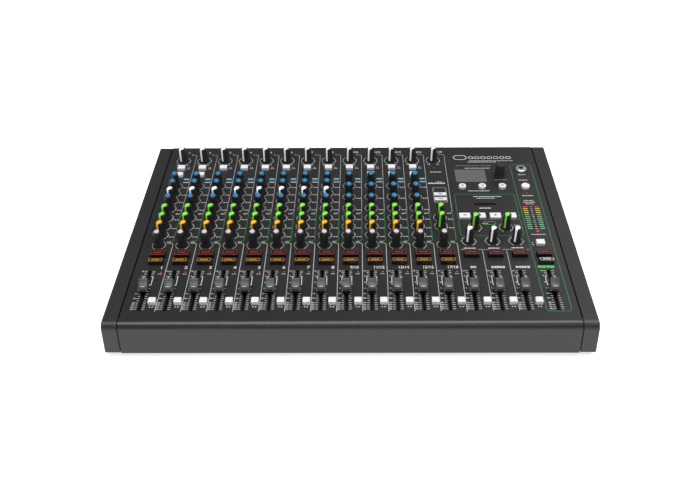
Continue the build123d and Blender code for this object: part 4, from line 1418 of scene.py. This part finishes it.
@dataclass
class Graphics:
    """Everything printed on the control surface."""

    shop: Workshop
    ring: float = 7.4
    scale: Tuple[Tuple[float, str], ...] = (
        (76.0, "10"), (67.6, "5"), (57.5, "0"), (48.0, "5"), (39.5, "10"),
        (32.4, "20"), (25.5, "30"), (22.3, "40"), (19.1, "50"), (16.0, "60"),
    )

    def dial(self, ink: Print, row: float, ring: float, width: float = 0.42) -> None:
        """The scale round one knob of a strip: two arcs and their end marks."""
        ink.arc(0, row, ring, 35, 148, width)
        ink.arc(0, row, ring, -148, -35, width)
        for turn in (-148, 148, -90, 90):
            a = math.radians(turn)
            x, y = math.sin(a), math.cos(a)
            ink.line([(x * ring, row + y * ring), (x * (ring + 0.8), row + y * (ring + 0.8))], 0.36)

    def strip_white(self, rows: Sequence[float], sends: int) -> bpy.types.Object:
        """White printing of one strip, about its centre line.

        Args:
            rows: tone rows.
            sends: how many send rows.

        Returns:
            The object to repeat.
        """
        deck, ink = self.shop.deck, Print(self.shop)
        self.dial(ink, deck.gain_row, 8.6, 0.5)
        self.dial(ink, deck.pan_row, self.ring)
        for row in rows:
            self.dial(ink, row, self.ring)
        for row in deck.send_rows[:sends]:
            self.dial(ink, row, self.ring)
            ink.arc(0, row, self.ring, 60, 118, 0.85)
        for side in (-1, 1):
            ink.words(side * 5.6 - 1.8, deck.gain_row - 9.6, 3.6, 1.1, 2)
        for row in tuple(rows) + deck.send_rows[:sends]:
            ink.words(8.9, row - 3.2, 5.9, 1.1, 2)
        ink.words(9.0, 180.0, 5.0, 1.1, 3)
        ink.words(8.4, 126.8, 5.0, 1.3, 3)
        if rows:
            ink.words(6.8, 276.6, 4.6, 1.0, 2)
            ink.words(7.0, 279.4, 3.4, 0.8, 2)
            ink.bar(10.5, 246.0, 7.4, 1.4)
        return ink.object("strip_white")

    def strip_grey(self) -> bpy.types.Object:
        """Returns: the grey rule between two strips, upper and lower part."""
        ink = Print(self.shop)
        ink.line([(15.6, 12.6), (15.6, 121.5), (15.0, 123.6), (13.4, 124.6), (8.6, 124.8)], 0.72)
        head = [(8.2, 311.0), (9.6, 308.2), (13.6, 308.0), (14.7, 307.4), (15.1, 306.0), (15.1, 186.0)]
        ink.line(head, 0.5)
        ink.line([(15.1, 186.0), (14.7, 183.0), (13.2, 181.4), (8.6, 181.0)], 0.5)
        return ink.object("strip_grey")

    def strip_green(self) -> bpy.types.Object:
        """Returns: the green rule beside the sends."""
        ink = Print(self.shop)
        ink.line([(15.1, 181.0), (15.1, 132.0), (14.5, 129.4), (12.6, 128.4), (8.8, 128.2)], 0.6)
        return ink.object("strip_green")

    def fader_scale(self) -> bpy.types.Object:
        """Returns: the ticks and brackets beside one fader slot."""
        ink = Print(self.shop)
        rows = (76.0, 73.2, 70.4, 67.6, 52.7, 48.0, 43.7, 39.5, 35.9, 32.4, 28.9, 25.5, 22.3, 19.1, 16.0)
        for n, row in enumerate(rows):
            long = n % 2 == 1 or row < 26.0 or row == 76.0
            reach = 2.9 if long else 2.0
            for side in (-1, 1):
                ink.bar(side * (2.7 + reach / 2), row, reach, 0.6)
        for side in (-1, 1):
            ink.line([(side * x, y) for x, y in ((3.8, 66.2), (5.2, 66.2), (5.2, 53.6), (3.2, 53.6))], 0.85)
        return ink.object("fader_scale")

    def scale_figures(self) -> bpy.types.Object:
        """Returns: the figures of one fader scale."""
        letter = self.shop.lettering
        parts = [letter("figure", text, 2.5, (-6.3, row), "RIGHT") for row, text in self.scale]
        return self.shop.joined("scale_figures", parts)

    def put(self, made: bpy.types.Object, finish: Finish) -> None:
        """Prints a piece on the console."""
        self.shop.finish(made, "console", finish, "deck_paint")

    def spread(self, name: str, source: bpy.types.Object, columns: Sequence[float], finish: Finish) -> None:
        """Prints a piece once on each centre line."""
        self.put(self.shop.repeated(name, source, [(x, 0.0) for x in columns], finish), finish)

    def strips(self) -> None:
        """Prints the input strips and the fader scales."""
        deck = self.shop.deck
        for name, rows, sends, numbers in (
            ("single_strip_print", deck.mono_rows, 3, range(0, 8)),
            ("paired_strip_print", deck.paired_rows, 3, range(8, 12)),
            ("return_strip_print", (), 2, range(12, 13)),
        ):
            columns = [deck.strip(s) for s in numbers]
            self.spread(name, self.strip_white(rows, sends), columns, Finish.WHITE_INK)
        inputs = [deck.strip(s) for s in range(0, 13)]
        self.spread("strip_rules", self.strip_grey(), inputs, Finish.GREY_INK)
        self.spread("send_rules", self.strip_green(), inputs, Finish.GREEN_INK)
        faders = list(deck.faders().values())
        self.spread("fader_scales", self.fader_scale(), faders, Finish.WHITE_INK)
        self.spread("fader_figures", self.scale_figures(), faders, Finish.WHITE_INK)

    def numbers(self) -> None:
        """Prints the strip numbers under the keys and beside the gain knobs."""
        shop, deck = self.shop, self.shop.deck
        names = [str(n) for n in range(1, 9)] + ["9/10", "11/12", "13/14", "15/16", "17/18"]
        parts = []
        for n, text in enumerate(names):
            single = n < 8
            at = (deck.strip(n) + (10.2 if single else 6.9), 82.0)
            parts.append(shop.lettering("number", text, 6.2, at, "CENTER", 1.1 if single else 0.86, 0.17))
            at = (deck.strip(n) + 3.2, 314.4)
            parts.append(shop.lettering("small_number", text, 4.8, at, "LEFT", 0.9, 0.15))
        self.put(shop.joined("strip_numbers", parts), Finish.WHITE_INK)
        ink = Print(shop)
        for n, width in ((13, 6.6), (14, 15.0), (15, 15.5)):
            ink.words(deck.strip(n) + 2.0 - width / 2 + 1.0, 82.2, width, 3.4, 3 if n == 13 else 5)
        self.put(ink.object("bus_legends"), Finish.WHITE_INK)
        green = Print(shop)
        green.words(202.2, 82.6, 18.0, 4.0, 4)
        self.put(green.object("main_legend"), Finish.BRIGHT_GREEN_INK)

    def master(self) -> None:
        """Prints the frames, rules and labels of the right-hand end."""
        shop, deck = self.shop, self.shop.deck
        green = Print(shop)
        green.frame(199.9, 225.6, 12.6, 284.0, 4.0, 0.6)
        green.frame(124.6, 196.0, 168.0, 219.0, 2.5, 0.5)
        corners = [(124.6, 166.5), (124.6, 139.0), (126.0, 137.0), (194.6, 137.0), (196.0, 139.0), (196.0, 166.5)]
        green.line(corners, 0.5)
        self.put(green.object("green_frames"), Finish.GREEN_INK)
        grey = Print(shop)
        grey.line([(121.9, 112.6), (198.4, 112.6)], 0.55)
        grey.line([(146.0, 13.4), (146.0, 111.0)], 0.6)
        grey.line([(172.5, 13.4), (172.5, 111.0)], 0.6)
        grey.line([(131.2, 280.3), (133.0, 281.8), (176.0, 281.8)], 0.4)
        grey.line([(176.0, 249.8), (192.6, 249.8)], 0.4)
        grey.frame(99.5, 115.0, 202.6, 233.0, 1.0, 0.5)
        self.put(grey.object("master_rules"), Finish.GREY_INK)
        white = Print(shop)
        for x, y in ((141.7, 153.0), (177.5, 153.0), (132.5, 127.5), (159.0, 127.5), (185.3, 127.5)):
            white.arc(x, y, 7.8, 30, 150, 0.5)
            white.arc(x, y, 7.8, -150, -30, 0.5)
            for turn in (-150, 150, -90, 90):
                a = math.radians(turn)
                dx, dy = math.sin(a), math.cos(a)
                white.line([(x + dx * 7.8, y + dy * 7.8), (x + dx * 9.2, y + dy * 9.2)], 0.5)
        for x, y, width, height, pieces in (
            (149.5, 293.2, 56.0, 0.9, 11), (147.5, 290.2, 36.5, 1.2, 8),
            (142.5, 276.0, 32.0, 1.1, 5), (142.0, 226.0, 26.0, 1.1, 4), (146.5, 214.0, 34.0, 1.2, 5),
            (150.5, 210.6, 22.0, 1.1, 4), (151.5, 190.4, 14.0, 1.8, 3), (125.5, 114.8, 14.0, 1.5, 3),
            (152.8, 114.8, 13.0, 1.5, 3), (178.4, 115.4, 14.0, 1.5, 3), (98.4, 267.6, 15.0, 1.2, 3),
            (94.6, 242.6, 21.0, 2.6, 6), (104.8, 245.8, 8.0, 0.9, 3), (207.0, 261.0, 10.0, 1.0, 3),
            (206.2, 249.0, 11.6, 1.2, 3), (205.6, 215.6, 13.4, 1.4, 4), (206.2, 205.6, 11.6, 1.2, 4),
            (204.6, 202.0, 14.6, 1.2, 4), (207.0, 198.6, 10.0, 1.0, 3), (204.4, 139.6, 16.0, 1.1, 5),
            (151.2, 160.0, 7.0, 1.0, 2), (187.2, 157.0, 6.0, 1.0, 2), (202.2, 124.6, 2.6, 0.9, 1),
            (202.2, 120.6, 3.0, 0.9, 1), (224.6, 94.4, 0.5, 4.0, 1),
        ):
            white.words(x, y, width, height, pieces)
        for n in range(7):
            white.frame(149.6 + 8.0 * n, 155.2 + 8.0 * n, 298.0, 302.8, 1.8, 0.95)
        white.frame(130.5, 146.8, 296.2, 305.6, 4.6, 1.0)
        for strip in range(16):
            x = deck.strip(strip) + 10.8
            white.bar(x - 1.6, 19.4, 1.2, 1.4)
            white.bar(x + 1.2, 19.4, 1.4, 1.4)
            if strip < 13:
                white.words(x - 2.4, 71.4, 4.4, 0.9, 2)
        for row in range(12):
            y = 150.7 + 3.88 * row
            white.bar(212.2, y, 1.9 if row % 3 else 2.8, 0.8)
        self.put(white.object("master_labels"), Finish.WHITE_INK)
        bright = Print(shop)
        bright.frame(152.6, 167.0, 158.4, 163.6, 2.4, 0.5)
        self.put(bright.object("effects_mark"), Finish.BRIGHT_GREEN_INK)

    def build(self) -> None:
        """Prints everything."""
        self.strips()
        self.numbers()
        self.master()


# ---- The carried-over frame --------------------------------------------------------------------------


@dataclass
class Case:
    """CAD nodes that keep their shape, each with its own finish."""

    nodes: Dict[str, bpy.types.Object]
    finishes: Dict[str, Finish] = field(
        default_factory=lambda: {
            "control_surface": Finish.DECK,
            "rear_panel": Finish.REAR,
            "bottom_pan": Finish.PAN,
            "left_cheek": Finish.CHEEK,
            "right_cheek": Finish.CHEEK,
            "rubber_feet": Finish.RUBBER,
            "case_screws": Finish.SCREW,
            "control_board": Finish.BOARD,
            "jack_board": Finish.BOARD,
            "rotary_pots": Finish.STEEL,
            "slide_pots": Finish.BLACK_PLASTIC,
            "push_switches": Finish.BLACK_PLASTIC,
            "power_supply": Finish.ALUMINIUM,
            "display_screen": Finish.SCREEN,
            "sd_card_slot": Finish.BLACK_PLASTIC,
            "deck_jacks": Finish.CHROME,
            "combo_jacks": Finish.BLACK_PLASTIC,
            "line_jacks": Finish.BLACK_PLASTIC,
            "xlr_outputs": Finish.BLACK_PLASTIC,
            "usb_port": Finish.STEEL,
            "mains_inlet": Finish.BLACK_PLASTIC,
            "power_rocker": Finish.GLOSS_BLACK,
        }
    )

    def build(self) -> None:
        """Dresses every kept node."""
        for name, finish in self.finishes.items():
            node = self.nodes[name]
            material = finish.material()
            if not node.material_slots:
                node.data.materials.append(material)
            for slot in node.material_slots:
                slot.material = material
            log.info("%s: carried over", name)


# ---- Studio ------------------------------------------------------------------------------------------


@dataclass
class Studio:
    """The white floor, soft lights and the camera."""

    deck: Deck
    focal: float = 43.29
    eye: Tuple[float, float, float] = (10.37, -615.33, 582.68)
    yaw: float = -0.0148
    pitch: float = 0.6753
    roll: float = -0.0116
    ambient: float = 0.16

    def camera(self) -> None:
        """Sets the camera from its place and turns over the deck."""
        turn = self.deck.placing().to_3x3().normalized()
        across, along = math.sin(self.yaw), math.cos(self.yaw)
        ahead = Vector((across * math.cos(self.pitch), along * math.cos(self.pitch), -math.sin(self.pitch)))
        level = Vector((math.cos(self.yaw), -math.sin(self.yaw), 0.0))
        rise = level.cross(ahead)
        right = level * math.cos(self.roll) + rise * math.sin(self.roll)
        up = rise * math.cos(self.roll) - level * math.sin(self.roll)
        axes = [turn @ right, turn @ up, -(turn @ ahead)]
        place = Matrix([[a[n] for a in axes] for n in range(3)]).to_4x4()
        place.translation = self.deck.placing() @ Vector(self.eye)
        data = bpy.data.cameras.new("camera")
        data.lens, data.sensor_width = self.focal, 36.0
        data.clip_start, data.clip_end = 0.01, 20.0
        camera = bpy.data.objects.new("camera", data)
        camera.matrix_world = place
        bpy.context.scene.collection.objects.link(camera)
        bpy.context.scene.camera = camera

    def light(self, name: str, at: Point3, size: Point2, power: float) -> None:
        """A soft rectangular light aimed at the console.

        Args:
            name: object name.
            at: place in metres.
            size: width and height in metres.
            power: watts.
        """
        data = bpy.data.lights.new(name, "AREA")
        data.shape, data.size, data.size_y, data.energy = "RECTANGLE", size[0], size[1], power
        lamp = bpy.data.objects.new(name, data)
        lamp.location = at
        lamp.rotation_euler = (Vector((0, 0, 0.04)) - Vector(at)).to_track_quat("-Z", "Y").to_euler()
        bpy.context.scene.collection.objects.link(lamp)

    def floor(self) -> None:
        """A wide white table top that fades into the background."""
        mesh = bpy.data.meshes.new("table_top")
        mesh.from_pydata([(-9, -9, 0), (9, -9, 0), (9, 9, 0), (-9, 9, 0)], [], [(0, 1, 2, 3)])
        made = bpy.data.objects.new("table_top", mesh)
        bpy.context.scene.collection.objects.link(made)
        paint = Paint("table_white")
        haze = paint.noise(0.4, 2.0)
        tone = paint.blend(haze.limited(), (0.90, 0.90, 0.90), (0.93, 0.93, 0.93))
        paint.set(Base_Color=tone, Roughness=0.9, Emission_Color=tone, Emission_Strength=0.8)
        mesh.materials.append(paint.material)

    def backdrop(self) -> bpy.types.World:
        """A white backdrop that lights the room only dimly.

        Returns:
            The world: white where it is looked at, darker as a light.
        """
        world = bpy.data.worlds.new("studio")
        world.use_nodes = True
        tree = world.node_tree
        ground = tree.nodes["Background"]
        seen = tree.nodes.new("ShaderNodeLightPath")
        level = Signal(tree, seen.outputs["Is Camera Ray"]) * (1.0 - self.ambient) + self.ambient
        ground.inputs[0].default_value = (1.0, 1.0, 1.0, 1.0)
        tree.links.new(level.socket, ground.inputs[1])
        return world

    def build(self) -> None:
        """Builds the studio."""
        scene = bpy.context.scene
        scene.world = self.backdrop()
        scene.view_settings.view_transform = "Standard"
        scene.view_settings.look = "None"
        self.floor()
        self.light("overhead_softbox", (0.1, -0.24, 1.5), (2.2, 0.62), 30.0)
        self.light("front_softbox", (0.25, -1.6, 1.9), (1.4, 0.6), 5.0)
        self.light("rear_right_softbox", (1.0, 1.3, 1.5), (0.8, 0.6), 1.8)
        self.camera()


def main() -> None:
    """Builds the console's finished pieces in order."""
    logging.basicConfig(level=logging.INFO, format="%(message)s")
    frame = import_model()
    slots = {part["node"]: part["material_slot"] for part in frame["record"]["subparts"]}
    low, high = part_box("left_cheek")
    deck = Deck(half_depth=(high[1] - low[1]) / 2 / MM)
    shop = Workshop(deck, slots)
    Studio(deck).build()
    Case(frame["nodes"]).build()
    Knobs(shop).build()
    FaderCaps(shop).build()
    Keys(shop).build()
    Lamps(shop).build()
    RingNut(shop).build()
    SeamSeals(shop).build()
    Graphics(shop).build()
    log.info("%d pieces made", shop.count)


if __name__ == "__main__":
    main()
